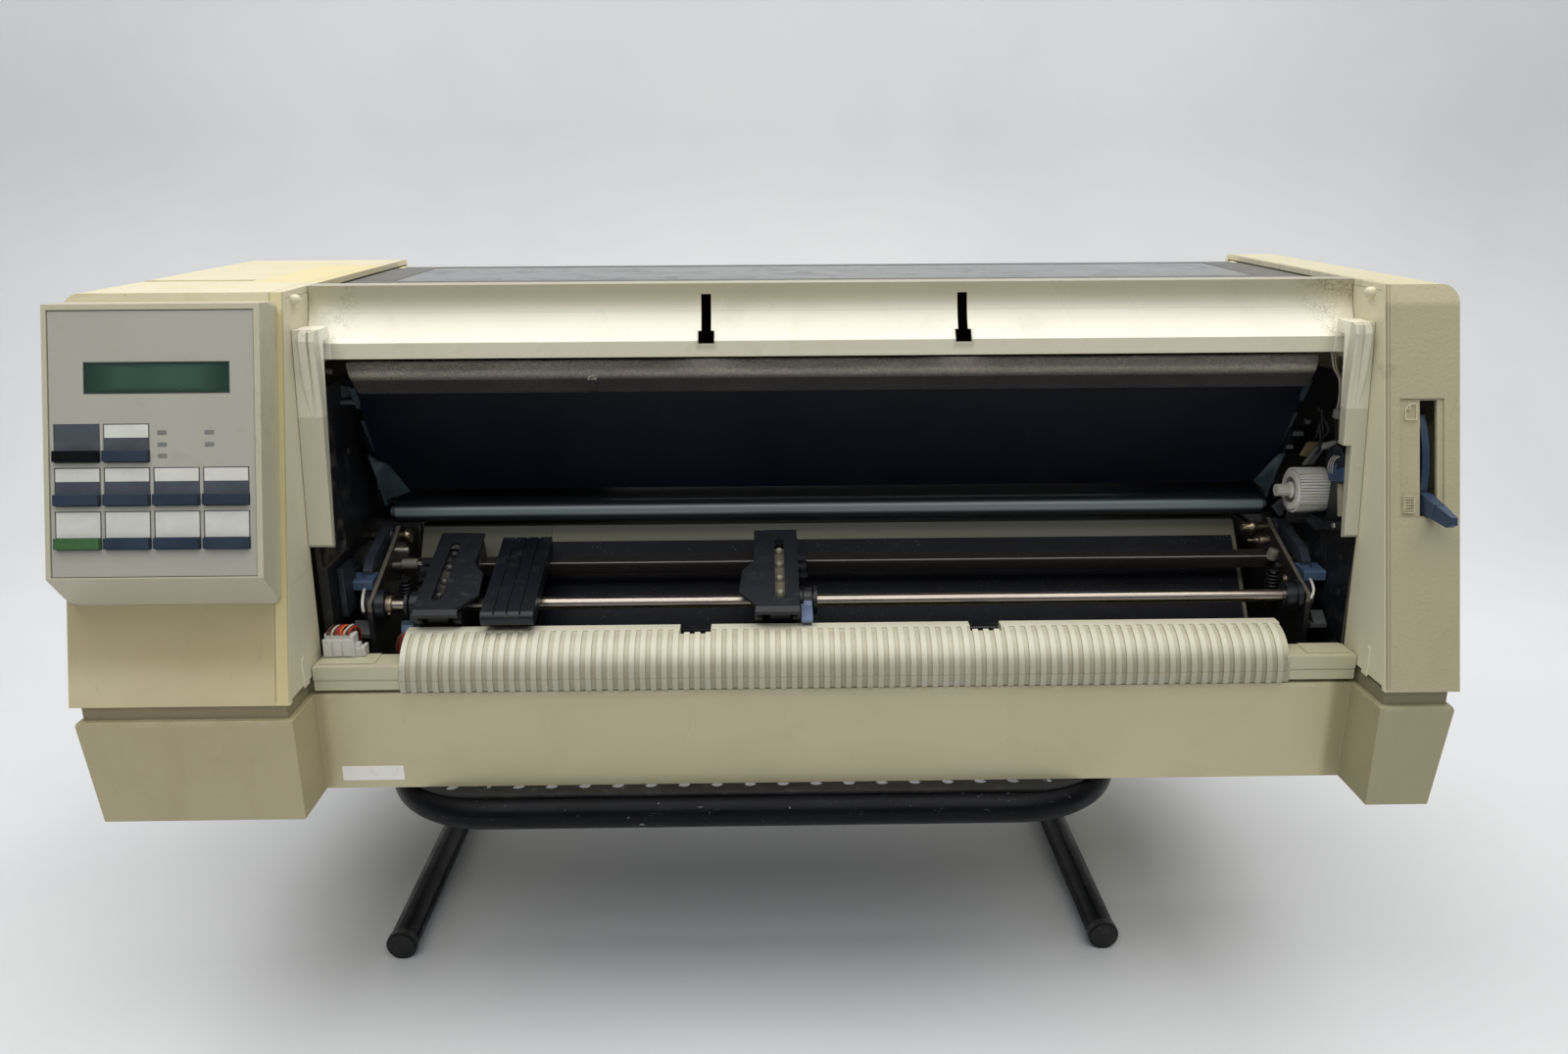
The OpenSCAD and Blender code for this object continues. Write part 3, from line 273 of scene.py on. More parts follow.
# painted shade: the lower part of the guide, which turns forward and down, is darkened
c = s.mix(s.below(s.z, PZ(77), mm(9)), c, (0.80, 0.80, 0.78, 1), "MULTIPLY")
c = s.mix(s.mul(s.below(s.z, PZ(75), mm(9)), inx), c, (0.78, 0.78, 0.76, 1), "MULTIPLY")
led = s.maxi(s.below(s.x, PX(-190), mm(0.5)), s.above(s.x, PX(269.6), mm(0.5)))
c = s.mix(led, c, (0.92, 0.90, 0.81, 1), "MULTIPLY")
M["apron"] = s.done(c, s.rng(s.noise(120, 3), 0.3, 0.7, 0.34, 0.46), fine_grain(s, 1300, 0.22, 0.00016), Specular_IOR_Level=0.45)

# control box and its film
s = Mat("control_box")
c = aged(s, (228, 222, 198), (220, 211, 180), 0.6, dirt_amount=0.3, seed=(3.3, 0.4, 0.9))
scf = s.mul(s.above(s.x, PX(-243.6), mm(2.5)), s.rng(s.noise(160, 5, 0.7, 1.2, s.stretch(1, 1, 0.5)), 0.52, 0.62))
scf = s.mul(scf, s.above(s.z, PZ(150), mm(60)))
c = s.mix(s.math("MULTIPLY", scf, 0.14), c, lin((122, 108, 82)))
# painted shade: the whole box, which faces front, is darkened to the shade the fronts get
c = s.mix(1.0, c, (0.64, 0.64, 0.62, 1), "MULTIPLY")
M["control_box"] = s.done(c, 0.42, fine_grain(s, 1300, 0.14, 0.00012), Specular_IOR_Level=0.45)

s = Mat("overlay_film")
c = s.mix(s.rng(s.noise(9, 3, 0.5, 0.4), 0.3, 0.7), lin((203, 201, 192)), lin((194, 192, 182)))
sm = s.rng(s.noise(42, 5, 0.65, 1.6), 0.56, 0.74)
c = s.mix(s.math("MULTIPLY", sm, 0.22), c, lin((158, 152, 138)))
wear = s.rng(s.noise(300, 3, 0.6, 0.5, s.stretch(1, 0.4, 0.4)), 0.70, 0.78)
c = s.mix(s.math("MULTIPLY", wear, 0.18), c, lin((120, 114, 104)))
c = s.mix(1.0, c, (0.685, 0.68, 0.64, 1), "MULTIPLY")
M["overlay_film"] = s.done(c, s.rng(sm, 0, 1, 0.32, 0.5), s.bump(s.noise(2400, 2), 0.08, 0.00005), Specular_IOR_Level=0.5)

s = Mat("lcd_glass")
gx = s.rng(s.math("ABSOLUTE", s.math("SUBTRACT", s.x, PX(-287))), mm(16), mm(34), 0.0, 1.0)
gz = s.rng(s.math("ABSOLUTE", s.math("SUBTRACT", s.z, PZ(221.0))), mm(3.6), mm(7.4), 0.0, 1.0)
vg = s.maxi(gx, gz)
c = s.mix(s.rng(s.noise(30, 2), 0.3, 0.7), lin((56, 86, 72)), lin((48, 76, 64)))
c = s.mix(s.math("MULTIPLY", vg, 0.75), c, lin((20, 42, 32)))
dot = s.mul(s.math("GREATER_THAN", s.math("FRACT", s.math("MULTIPLY", s.x, 1450.0)), 0.5), s.math("GREATER_THAN", s.math("FRACT", s.math("MULTIPLY", s.z, 1450.0)), 0.5))
c = s.mix(s.math("MULTIPLY", dot, 0.05), c, lin((30, 50, 40)))
scr = s.rng(s.noise(520, 2, 0.5, 2.0, s.stretch(0.08, 1, 1)), 0.70, 0.74)
M["lcd_glass"] = s.done(c, s.rng(scr, 0, 1, 0.10, 0.35), s.bump(s.noise(60, 2), 0.03, 0.0004), Coat_Weight=0.6, Coat_Roughness=0.06)

def key_mat(name, base, hi, rough=0.36, spec=0.5):
    s = Mat(name)
    c = s.mix(s.rng(s.noise(60, 4, 0.6, 0.6), 0.35, 0.7), lin(base), lin(hi))
    rubm = s.rng(s.noise(240, 4, 0.7, 0.8), 0.62, 0.74)
    c = s.mix(s.math("MULTIPLY", rubm, 0.25), c, lin(tuple(min(255, v * 1.5 + 20) for v in hi)))
    M[name] = s.done(c, s.rng(s.noise(40, 3), 0.3, 0.7, rough, rough + 0.14), fine_grain(s, 2200, 0.12, 0.00008), Specular_IOR_Level=spec)
key_mat("key_navy", (31, 44, 60), (38, 53, 70))
key_mat("key_black", (5, 6, 10), (10, 11, 16), 0.4, 0.16)
key_mat("key_green", (54, 92, 52), (64, 108, 60))

def film_print(name, base, hi, rough=0.42):
    s = Mat(name)
    c = s.mix(s.rng(s.noise(70, 4, 0.6, 0.8), 0.35, 0.7), lin(base), lin(hi))
    M[name] = s.done(c, s.rng(s.noise(50, 3), 0.3, 0.7, rough, rough + 0.1), s.bump(s.noise(2400, 2), 0.06, 0.00005))
film_print("cell_light", (206, 205, 196), (214, 213, 205))
film_print("cell_slate", (66, 70, 79), (75, 79, 88))
film_print("cell_line", (58, 58, 62), (72, 72, 76))
film_print("led_off", (112, 114, 110), (124, 126, 121), 0.25)

# top cover and smoked window
s = Mat("cover_frame")
c = s.mix(s.rng(s.noise(8, 3), 0.3, 0.7), lin((92, 88, 82)), lin((80, 77, 72)))
du = s.rng(s.noise(70, 5, 0.65, 0.8), 0.45, 0.75)
c = s.mix(s.math("MULTIPLY", du, 0.20), c, lin((160, 154, 140)))
M["cover_frame"] = s.done(c, 0.48, fine_grain(s, 1200, 0.18, 0.00014))
s = Mat("smoked_window")
du = s.rng(s.noise(38, 6, 0.7, 1.0), 0.42, 0.75)
c = s.mix(s.math("MULTIPLY", du, 0.35), lin((44, 44, 46)), lin((132, 130, 124)))
hz = s.rng(s.noise(700, 2, 0.5, 1.5, s.stretch(0.15, 1, 1)), 0.68, 0.74)
M["smoked_window"] = s.done(c, s.math("ADD", s.math("MULTIPLY", du, 0.16), s.math("ADD", 0.12, s.math("MULTIPLY", hz, 0.12))), s.bump(s.noise(14, 2), 0.05, 0.0008), Transmission_Weight=0.55, IOR=1.45, Coat_Weight=0.15, Coat_Roughness=0.08)

# dark parts of the mechanism
def dark(name, base, hi, rough, dust=0.25, grain=1400, gs=0.15, dcol=(150, 146, 136), spec=0.4):
    s = Mat(name)
    c = s.mix(s.rng(s.noise(18, 3), 0.35, 0.7), lin(base), lin(hi))
    d1 = s.rng(s.noise(110, 6, 0.72, 0.6), 0.50, 0.80)
    c = s.mix(s.math("MULTIPLY", d1, dust), c, lin(dcol))
    d2 = s.rng(s.voro(700), 0.06, 0.16, 1.0, 0.0)
    d2 = s.mul(d2, s.rng(s.noise(240, 2), 0.56, 0.62))
    c = s.mix(s.math("MULTIPLY", d2, dust * 1.6), c, lin((190, 186, 176)))
    M[name] = s.done(c, s.rng(d1, 0, 1, rough, min(0.9, rough + 0.25)), fine_grain(s, grain, gs, 0.00012), Specular_IOR_Level=spec)
dark("tractor_black", (16, 17, 20), (23, 24, 28), 0.40, 0.12)
dark("tractor_door", (26, 27, 32), (33, 34, 40), 0.44, 0.08, 1700, 0.35)
dark("mech_black", (15, 16, 18), (23, 24, 27), 0.48, 0.14)
dark("rubber", (16, 16, 17), (24, 24, 25), 0.62, 0.12, 900, 0.25)
dark("lever_blue", (38, 54, 75), (46, 64, 87), 0.36, 0.08)
dark("cap_rubber", (15, 15, 16), (25, 25, 26), 0.55, 0.18, 900, 0.3)
dark("support_dark", (12, 16, 22), (18, 23, 30), 0.40, 0.08)
dark("shelf_black", (16, 16, 18), (24, 24, 27), 0.50, 0.14)
dark("hub_black", (18, 20, 25), (28, 31, 38), 0.30, 0.12)
dark("smoke_grey", (52, 54, 56), (70, 72, 74), 0.35, 0.18)
dark("mech_slate", (26, 29, 34), (40, 43, 49), 0.40, 0.16)
dark("teal_edge", (44, 56, 64), (56, 70, 78), 0.36, 0.12)

def masked(name, base, hi, rough, over, dust=0.2, spec=0.4):
    """Dark plastic or enamel with one or more differently coloured places; over(s) gives (mask, colour) pairs."""
    s = Mat(name)
    c = s.mix(s.rng(s.noise(18, 3), 0.35, 0.7), lin(base), lin(hi))
    for m_, col in over(s): c = s.mix(m_, c, s.mix(s.rng(s.noise(70, 4, 0.6, 0.5), 0.3, 0.7), lin(col), lin(tuple(v * 0.84 for v in col))))
    d1 = s.rng(s.noise(110, 6, 0.72, 0.6), 0.50, 0.80)
    c = s.mix(s.math("MULTIPLY", d1, dust), c, lin((140, 134, 122)))
    M[name] = s.done(c, s.rng(d1, 0, 1, rough, min(0.9, rough + 0.25)), fine_grain(s, 1400, 0.15, 0.00012), Specular_IOR_Level=spec)
def from_axis(s, yz):
    a = s.math("SUBTRACT", s.y, PY(yz[0])); b = s.math("SUBTRACT", s.z, PZ(yz[1]))
    return s.math("SQRT", s.math("ADD", s.math("MULTIPLY", a, a), s.math("MULTIPLY", b, b)))
# the shaft brackets are bare brown-grey steel, their small feet a grey-green
masked("frame_black", (13, 14, 17), (20, 21, 25), 0.40, lambda s: [
    (s.mul(s.maxi(s.band(s.x, PX(-212.3), mm(1.5), mm(0.2)), s.band(s.x, PX(290.1), mm(1.5), mm(0.2))), s.band(s.z, PZ(104), mm(15), mm(1)), s.below(s.y, PY(131), mm(1))), (40, 38, 35)),
    (s.mul(s.maxi(s.band(s.x, PX(-212.3), mm(1.0), mm(0.12)), s.band(s.x, PX(290.1), mm(1.0), mm(0.12))), s.band(s.z, PZ(104), mm(15), mm(1)), s.below(s.y, PY(131), mm(1))), (104, 98, 88)),
    (s.mul(s.band(s.z, PZ(78), mm(4.2), mm(0.4)), s.below(s.y, PY(73), mm(0.5)), s.above(s.y, PY(58), mm(0.5)), s.maxi(s.band(s.x, PX(-218.5), mm(4.7), mm(0.3)), s.band(s.x, PX(297.5), mm(4.6), mm(0.3)))), (64, 68, 67)),
    (s.mul(s.band(s.x, PX(-229.7), mm(1.4), mm(0.2)), s.rng(s.noise(120, 3), 0.45, 0.62), s.below(s.y, PY(82), mm(1)), s.above(s.z, PZ(116), mm(1))), (66, 60, 54))], 0.12)
masked("bracket_teal", (13, 15, 19), (20, 22, 27), 0.40, lambda s: [
    (s.mul(s.maxi(s.below(s.x, PX(-204), mm(1)), s.band(s.x, PX(288), mm(7.5), mm(0.5))), s.band(s.z, PZ(141), mm(15), mm(1.5)), s.below(s.y, PY(140), mm(1)), s.maxi(s.below(s.x, PX(-206), mm(1)), s.below(s.z, PZ(160), mm(1)))), (66, 80, 86)),
    (s.mul(s.band(s.x, PX(306.1), mm(0.55), mm(0.1)), s.below(s.y, PY(84), mm(1))), (120, 112, 98))])
masked("latch_blue", (20, 21, 25), (28, 29, 34), 0.38, lambda s: [
    (s.above(from_axis(s, (70, 88.7)), mm(8.6), mm(0.4)), (108, 124, 156)),
    (s.mul(s.band(from_axis(s, (70, 88.7)), mm(9.6), mm(1.8), mm(0.5)), s.below(s.z, PZ(86), mm(1))), (44, 66, 76))])
masked("release_dark", (44, 48, 56), (56, 60, 70), 0.38, lambda s: [
    (s.mul(s.below(s.y, PY(87.2), mm(0.2)), s.band(s.z, PZ(98.8), mm(3.3), mm(0.2))), (74, 94, 124))])

# stand tube: satin black enamel with chips and fine scratches
s = Mat("tube_black")
c = s.mix(s.rng(s.noise(20, 3), 0.3, 0.7), lin((4, 5, 9)), lin((7, 8, 13)))
sc = s.rng(s.noise(520, 3, 0.6, 2.4, s.stretch(0.25, 1, 1)), 0.69, 0.73)
c = s.mix(s.math("MULTIPLY", sc, 0.5), c, lin((150, 150, 156)))
ch = s.rng(s.noise(180, 3, 0.6, 0.5), 0.72, 0.745)
c = s.mix(s.math("MULTIPLY", ch, 0.7), c, lin((168, 168, 172)))
M["tube_black"] = s.done(c, s.rng(s.noise(60, 4), 0.3, 0.7, 0.34, 0.48), s.bump(s.noise(700, 2), 0.10, 0.0001), Specular_IOR_Level=0.12)

# dark baffle film with dust and soft scuffs; long panel reflects a little
s = Mat("baffle_film")
c = s.mix(s.rng(s.noise(7, 4, 0.55, 0.5), 0.35, 0.7), lin((9, 12, 22)), lin((13, 17, 30)))
sp = s.mul(s.rng(s.voro(620), 0.05, 0.13, 1.0, 0.0), s.rng(s.noise(150, 3), 0.54, 0.62))
c = s.mix(s.math("MULTIPLY", sp, 0.40), c, lin((84, 88, 98)))
st = s.rng(s.noise(90, 5, 0.7, 0.4, s.stretch(1, 0.22, 0.22)), 0.55, 0.75)
c = s.mix(s.math("MULTIPLY", st, 0.035), c, lin((70, 78, 96)))
M["baffle_film"] = s.done(c, s.rng(s.noise(34, 4, 0.6, 0.4), 0.3, 0.7, 0.36, 0.48), s.bump(s.noise(40, 3, 0.5, 0.5, s.stretch(0.3, 1, 1)), 0.06, 0.0005), Specular_IOR_Level=0.16)

s = Mat("slide_film")
c = s.mix(s.rng(s.noise(12, 4, 0.55, 0.5), 0.35, 0.7), lin((14, 16, 26)), lin((22, 25, 38)))
lefty = s.below(s.x, PX(-127.0), mm(0.3))
c = s.mix(lefty, c, lin((8, 8, 10)))
sp = s.mul(s.rng(s.voro(520), 0.06, 0.15, 1.0, 0.0), s.rng(s.noise(120, 3), 0.50, 0.60))
c = s.mix(s.math("MULTIPLY", sp, 0.8), c, lin((160, 164, 170)))
st = s.rng(s.noise(60, 5, 0.7, 0.8, s.stretch(0.5, 1, 1)), 0.5, 0.75)
c = s.mix(s.math("MULTIPLY", st, 0.10), c, lin((96, 98, 106)))
c = s.mix(1.0, c, (0.55, 0.55, 0.6, 1), "MULTIPLY")
M["slide_film"] = s.done(c, 0.5, s.bump(s.noise(50, 3), 0.08, 0.0006), Specular_IOR_Level=0.12)

s = Mat("guide_slate")
c = s.mix(s.rng(s.noise(10, 3, 0.5, 0.4, s.stretch(1, 1, 1)), 0.3, 0.7), lin((92, 100, 104)), lin((84, 92, 97)))
st = s.rng(s.noise(120, 5, 0.7, 0.6, s.stretch(0.25, 1, 1)), 0.55, 0.75)
# painted shade: the flat top and the upper rounded part are painted near black against the bar's lighter grey
flat = s.mul(s.above(s.y, PY(138.5), mm(1)), s.above(s.z, PZ(127.5), mm(0.5)))
# painted highlight: a lighter band along the bar's rounded front stands in for its highlight
c = s.mix(s.mul(s.band(s.z, PZ(123.2), mm(1.4), mm(1.2)), s.below(s.y, PY(134), mm(1))), c, lin((126, 134, 137)))
c = s.mix(s.math("MULTIPLY", s.maxi(flat, s.above(s.z, PZ(125.3), mm(0.9))), 0.93), c, lin((14, 22, 28)))
# painted shade: the underside is painted dark
und = s.below(s.z, PZ(121.0), mm(1.4))
c = s.mix(s.math("MULTIPLY", und, 0.85), c, lin((22, 30, 36)))
c = s.mix(s.math("MULTIPLY", st, 0.05), c, lin((110, 116, 120)))
M["guide_slate"] = s.done(c, 0.30, fine_grain(s, 1400, 0.06, 0.00008), Specular_IOR_Level=0.6)

s = Mat("plate_beige")
c = aged(s, (196, 188, 158), (186, 176, 142), 0.7, seed=(9.1, 1.2, 3.2))
dk = s.below(s.x, PX(-126.6), mm(0.3))
c = s.mix(s.math("MULTIPLY", dk, 0.45), c, lin((120, 112, 84)))
ln = s.band(s.x, PX(-126.4), mm(0.2), mm(0.2))
c = s.mix(s.math("MULTIPLY", ln, 0.7), c, lin((70, 64, 46)))
# painted shade: the whole plate is darkened to the shade it sits in under the guide bar
c = s.mix(1.0, c, (0.225, 0.235, 0.225, 1), "MULTIPLY")
# painted shadow: darker towards the top, standing in for the guide bar's shadow
c = s.mix(s.rng(s.z, PZ(106.5), PZ(112.0)), c, (0.32, 0.32, 0.33, 1), "MULTIPLY")
M["plate_beige"] = s.done(c, 0.50, fine_grain(s, 1300, 0.10, 0.0001))

# foam: fine open cells with dusty mottling; its colour is lifted near white on the upper facet as painted light, and
# the turn and lower facet are darkened to brown-grey as painted shade
s = Mat("foam")
# painted light: the upper facet's colour is set near white, well above the foam's own tone, standing in for the light
# it gets
c = s.mix(s.rng(s.noise(24, 4, 0.6, 0.6), 0.3, 0.7), lin((230, 221, 205)), lin((212, 203, 187)))
cell = s.rng(s.voro(1300), 0.15, 0.55, 1.0, 0.0)
c = s.mix(s.math("MULTIPLY", cell, 0.28), c, lin((62, 58, 52)))
c = s.mix(s.math("MULTIPLY", s.rng(s.noise(430, 4, 0.75, 0.2), 0.40, 0.62), 0.26), c, lin((92, 86, 76)))
# painted shade: darker towards the lower edge where the profile turns
turn = s.rng(s.z, PZ(208.4), PZ(212.4), 0.14, 1.0)
c = s.mix(s.math("SUBTRACT", 1.0, turn), c, lin((20, 19, 18)))
# painted shade: the lower facet is given a dark grey against the light upper facet
lowf = s.below(s.z, PZ(208.6), mm(0.8))
c = s.mix(s.math("MULTIPLY", lowf, 0.93), c, s.mix(s.rng(s.noise(24, 4, 0.6, 0.6), 0.3, 0.7), lin((58, 56, 55)), lin((50, 48, 48))))
tear = s.mul(s.band(s.x, PX(-91.6), mm(1.6), mm(1.4)), s.band(s.z, PZ(209.2), mm(1.2), mm(1.2)), s.rng(s.noise(900, 3), 0.42, 0.6))
c = s.mix(s.math("MULTIPLY", tear, 0.8), c, lin((196, 190, 176)))
fh = s.math("ADD", s.math("MULTIPLY", s.voro(1300), 0.7), s.noise(900, 4, 0.7))
# painted sheen: sheen only on the upper facet away from the turn, lifting it as painted light
M["foam"] = s.done(c, 0.95, s.bump(fh, 0.9, 0.0007), Specular_IOR_Level=0.08, Sheen_Weight=s.math("MULTIPLY", s.mul(turn, s.math("SUBTRACT", 1.0, lowf)), 0.48), Sheen_Roughness=0.6)

def metal(name, base, hi, rough, sx=1.0, tarn=(96, 84, 70), ta=0.3, aniso=0.0):
    s = Mat(name)
    v = s.stretch(sx, 1, 1)
    c = s.mix(s.rng(s.noise(26, 4, 0.6, 0.3, v), 0.35, 0.7), lin(base), lin(hi))
    t = s.rng(s.noise(60, 5, 0.65, 0.8), 0.52, 0.74)
    c = s.mix(s.math("MULTIPLY", t, ta), c, lin(tarn))
    r = s.math("ADD", s.math("MULTIPLY", t, 0.18), s.rng(s.noise(900, 3, 0.6, 0, v), 0.3, 0.7, rough, rough + 0.12))
    M[name] = s.done(c, r, s.bump(s.noise(1500, 2, 0.5, 0, v), 0.06, 0.00006), Metallic=1.0)
metal("bright_steel", (190, 182, 172), (206, 198, 188), 0.16, 0.05, ta=0.22)
# the support shaft: bright ground steel with black plastic hubs on it
s = Mat("shaft_hubs")
v = s.stretch(0.05, 1, 1)
hubm = s.above(from_axis(s, (70, 88.7)), mm(4.2), mm(0.1))
c = s.mix(s.rng(s.noise(26, 4, 0.6, 0.3, v), 0.35, 0.7), lin((152, 143, 132)), lin((170, 160, 149)))
c = s.mix(s.math("MULTIPLY", s.rng(s.noise(60, 5, 0.65, 0.8), 0.52, 0.74), 0.25), c, lin((90, 78, 66)))
c = s.mix(hubm, c, s.mix(s.rng(s.noise(60, 4), 0.35, 0.7), lin((18, 20, 25)), lin((30, 33, 40))))
M["shaft_hubs"] = s.done(c, s.math("MAXIMUM", s.rng(s.noise(300, 3, 0.6, 0, v), 0.3, 0.7, 0.22, 0.32), s.math("MULTIPLY", hubm, 0.34)), s.bump(s.noise(1500, 2, 0.5, 0, v), 0.03, 0.00004), Metallic=s.math("SUBTRACT", 1.0, hubm))
# studs in dull brass-toned metal, coil springs blackened
s = Mat("studs_springs")
spr = s.mul(s.band(s.y, PY(93), mm(4.4), mm(0.2)), s.band(s.z, PZ(84), mm(12.4), mm(0.3)))
c = s.mix(s.rng(s.noise(40, 4), 0.35, 0.7), lin((150, 136, 112)), lin((172, 158, 134)))
c = s.mix(spr, c, s.mix(s.rng(s.noise(160, 3), 0.35, 0.7), lin((34, 35, 38)), lin((48, 49, 52))))
M["studs_springs"] = s.done(c, 0.34, s.bump(s.noise(500, 2), 0.06, 0.0001), Metallic=s.math("SUBTRACT", 1.0, s.math("MULTIPLY", spr, 0.5)))
s = Mat("dull_steel")
v = s.stretch(0.08, 1, 1)
c = s.mix(s.rng(s.noise(26, 4, 0.6, 0.3, v), 0.35, 0.7), lin((122, 116, 110)), lin((138, 132, 125)))
c = s.mix(s.math("MULTIPLY", s.rng(s.noise(60, 5, 0.65, 0.8), 0.52, 0.74), 0.25), c, lin((70, 64, 58)))
# painted highlight: a thin pale non-metal line along the upper front edge of the square shaft stands in for the
# highlight there
edge_glint = s.mul(s.below(from_axis(s, (98.45, 101.9)), mm(0.62), mm(0.3)), s.above(s.x, PX(-205), mm(0.5)), s.below(s.x, PX(283), mm(0.5)))
c = s.mix(edge_glint, c, lin((178, 174, 170)))
M["dull_steel"] = s.done(c, 0.38, s.bump(s.noise(1500, 2, 0.5, 0, v), 0.04, 0.00005), Metallic=s.math("SUBTRACT", 1.0, edge_glint))
metal("zinc", (176, 172, 160), (196, 192, 182), 0.36, 1.0, (150, 130, 92), 0.35)
metal("tan_metal", (150, 134, 116), (172, 156, 138), 0.34, 1.0, (96, 78, 62), 0.3)
metal("brass", (176, 146, 84), (198, 170, 104), 0.32, 1.0, (96, 74, 40), 0.35)
metal("motor_metal", (120, 118, 114), (140, 138, 134), 0.40, 1.0)
metal("head_metal", (60, 61, 64), (78, 79, 82), 0.38, 1.0)

def soft_white(name, base, hi, dirt=(150, 140, 116), rough=0.42, amt=0.4, sss=0.0):
    s = Mat(name)
    c = s.mix(s.rng(s.noise(30, 3), 0.3, 0.7), lin(base), lin(hi))
    d = s.rng(s.noise(160, 5, 0.65, 0.8), 0.52, 0.75)
    c = s.mix(s.math("MULTIPLY", d, amt), c, lin(dirt))
    M[name] = s.done(c, rough, fine_grain(s, 1600, 0.1, 0.0001), Subsurface_Weight=sss, Subsurface_Scale=0.002)
soft_white("gear_white", (222, 220, 212), (210, 206, 194), amt=0.25)
s = Mat("feed_gear_white")
rg = from_axis(s, (102, 139.6))
c = s.mix(s.rng(s.noise(30, 3), 0.3, 0.7), lin((228, 226, 220)), lin((216, 213, 204)))
# painted shade: a darker ring at the tooth roots on the outer face
root = s.mul(s.below(rg, mm(12.0), mm(0.6)), s.above(rg, mm(10.3), mm(0.3)), s.above(s.x, PX(292.9), mm(0.2)))
c = s.mix(s.math("MULTIPLY", root, 0.80), c, lin((112, 108, 98)))
tub = s.below(s.x, PX(291.6), mm(0.4))
c = s.mix(s.math("MULTIPLY", tub, 0.6), c, lin((150, 146, 134)))
# painted shade: darker in the hub recess
rec = s.mul(s.below(s.x, PX(295.9), mm(0.3)), s.band(rg, mm(6.0), mm(1.2), mm(0.5)), s.above(s.x, PX(292.2), mm(0.3)))
c = s.mix(s.math("MULTIPLY", rec, 0.5), c, lin((96, 94, 90)))
M["feed_gear_white"] = s.done(c, 0.40, fine_grain(s, 1600, 0.1, 0.0001), Subsurface_Weight=0.12, Subsurface_Scale=0.002)
def belt_mat(name, lit, tan):
    """Pin belt: dark all round, lighter only where the door's slot shows it. lit: not used."""
    s = Mat(name)
    up = s.math("SUBTRACT", s.math("MULTIPLY", s.math("SUBTRACT", s.z, PZ(88.7)), FC), s.math("MULTIPLY", s.math("SUBTRACT", s.y, PY(70)), FS))
    topm = s.above(up, mm(7.0), mm(0.2)); pin = s.above(up, mm(8.5), mm(0.3))
    c = s.mix(s.rng(s.noise(30, 3), 0.3, 0.7), lin((26, 26, 28)), lin((36, 36, 38)))
    # painted light: only the top run, seen through the door's slot, gets the light tan (or patchy lighter tone on the
    # dark belt); the rest of the belt is left dark as painted shade
    if tan: c = s.mix(topm, c, s.mix(s.rng(s.noise(90, 4), 0.3, 0.7), lin((122, 114, 96)), lin((106, 98, 82))))
    else: c = s.mix(s.math("MULTIPLY", s.mul(topm, s.rng(s.noise(160, 3), 0.35, 0.6)), 0.45), c, lin((110, 104, 94)))
    c = s.mix(pin, c, s.mix(s.rng(s.noise(160, 3), 0.3, 0.7), lin((150, 144, 128)), lin((128, 122, 108))) if tan else c)
    d = s.rng(s.noise(160, 5, 0.65, 0.8), 0.52, 0.75)
    c = s.mix(s.math("MULTIPLY", d, 0.2), c, lin((70, 62, 50)))
    M[name] = s.done(c, 0.42, fine_grain(s, 1600, 0.1, 0.0001))
belt_mat("belt_tan", None, True); belt_mat("belt_dark", None, False)
soft_white("sprocket_grey", (60, 60, 60), (46, 46, 47), (30, 28, 26), 0.42, 0.3)
soft_white("nylon", (214, 212, 204), (196, 194, 186), amt=0.45)
soft_white("paper_label", (242, 241, 236), (232, 230, 222), (190, 182, 160), 0.6, 0.3)
soft_white("wire_red", (186, 48, 34), (166, 40, 30), (90, 40, 30), 0.4, 0.2)
soft_white("wire_orange", (214, 112, 42), (196, 96, 34), (110, 60, 30), 0.4, 0.2)
soft_white("wire_brown", (92, 58, 40), (78, 50, 36), (50, 36, 28), 0.4, 0.2)
soft_white("wire_white", (212, 208, 196), (200, 196, 184), (120, 110, 90), 0.4, 0.3)
soft_white("blue_plastic", (64, 86, 118), (54, 74, 104), (40, 50, 66), 0.38, 0.2)
soft_white("dull_nylon", (128, 122, 110), (112, 106, 96), (60, 54, 46), 0.42, 0.5)
soft_white("brass_pale", (190, 180, 156), (176, 166, 142), (110, 98, 76), 0.36, 0.4)
soft_white("grey_plate", (140, 140, 136), (122, 122, 118), (70, 68, 62), 0.40, 0.45)
soft_white("brown_plate", (150, 136, 104), (132, 118, 88), (80, 68, 48), 0.4, 0.4)
soft_white("icon_cream", (206, 198, 166), (198, 190, 158), (120, 108, 80), 0.5, 0.3)

s = Mat("circuit_board")
c = s.mix(s.rng(s.noise(30, 3), 0.3, 0.7), lin((34, 84, 50)), lin((28, 72, 44)))
tr = s.math("GREATER_THAN", s.math("FRACT", s.math("MULTIPLY", s.x, 400.0)), 0.72)
tr = s.mul(tr, s.rng(s.noise(60, 1), 0.48, 0.52))
c = s.mix(s.math("MULTIPLY", tr, 0.5), c, lin((70, 130, 80)))
up = s.above(s.z, PZ(15.2), mm(0.2))
c = s.mix(s.mul(up, s.below(s.z, PZ(60), mm(1))), c, lin((36, 36, 38)))
M["circuit_board"] = s.done(c, 0.4, s.bump(s.noise(400, 2), 0.1, 0.0002))

s = Mat("sheet_metal")
c = s.mix(s.rng(s.noise(14, 4), 0.3, 0.7), lin((168, 168, 164)), lin((150, 150, 147)))
sp = s.rng(s.voro(120), 0.1, 0.5)
c = s.mix(s.math("MULTIPLY", sp, 0.12), c, lin((190, 190, 190)))
M["sheet_metal"] = s.done(c, s.rng(s.voro(120), 0, 0.6, 0.3, 0.5), s.bump(s.noise(300, 2), 0.05, 0.0002), Metallic=1.0)

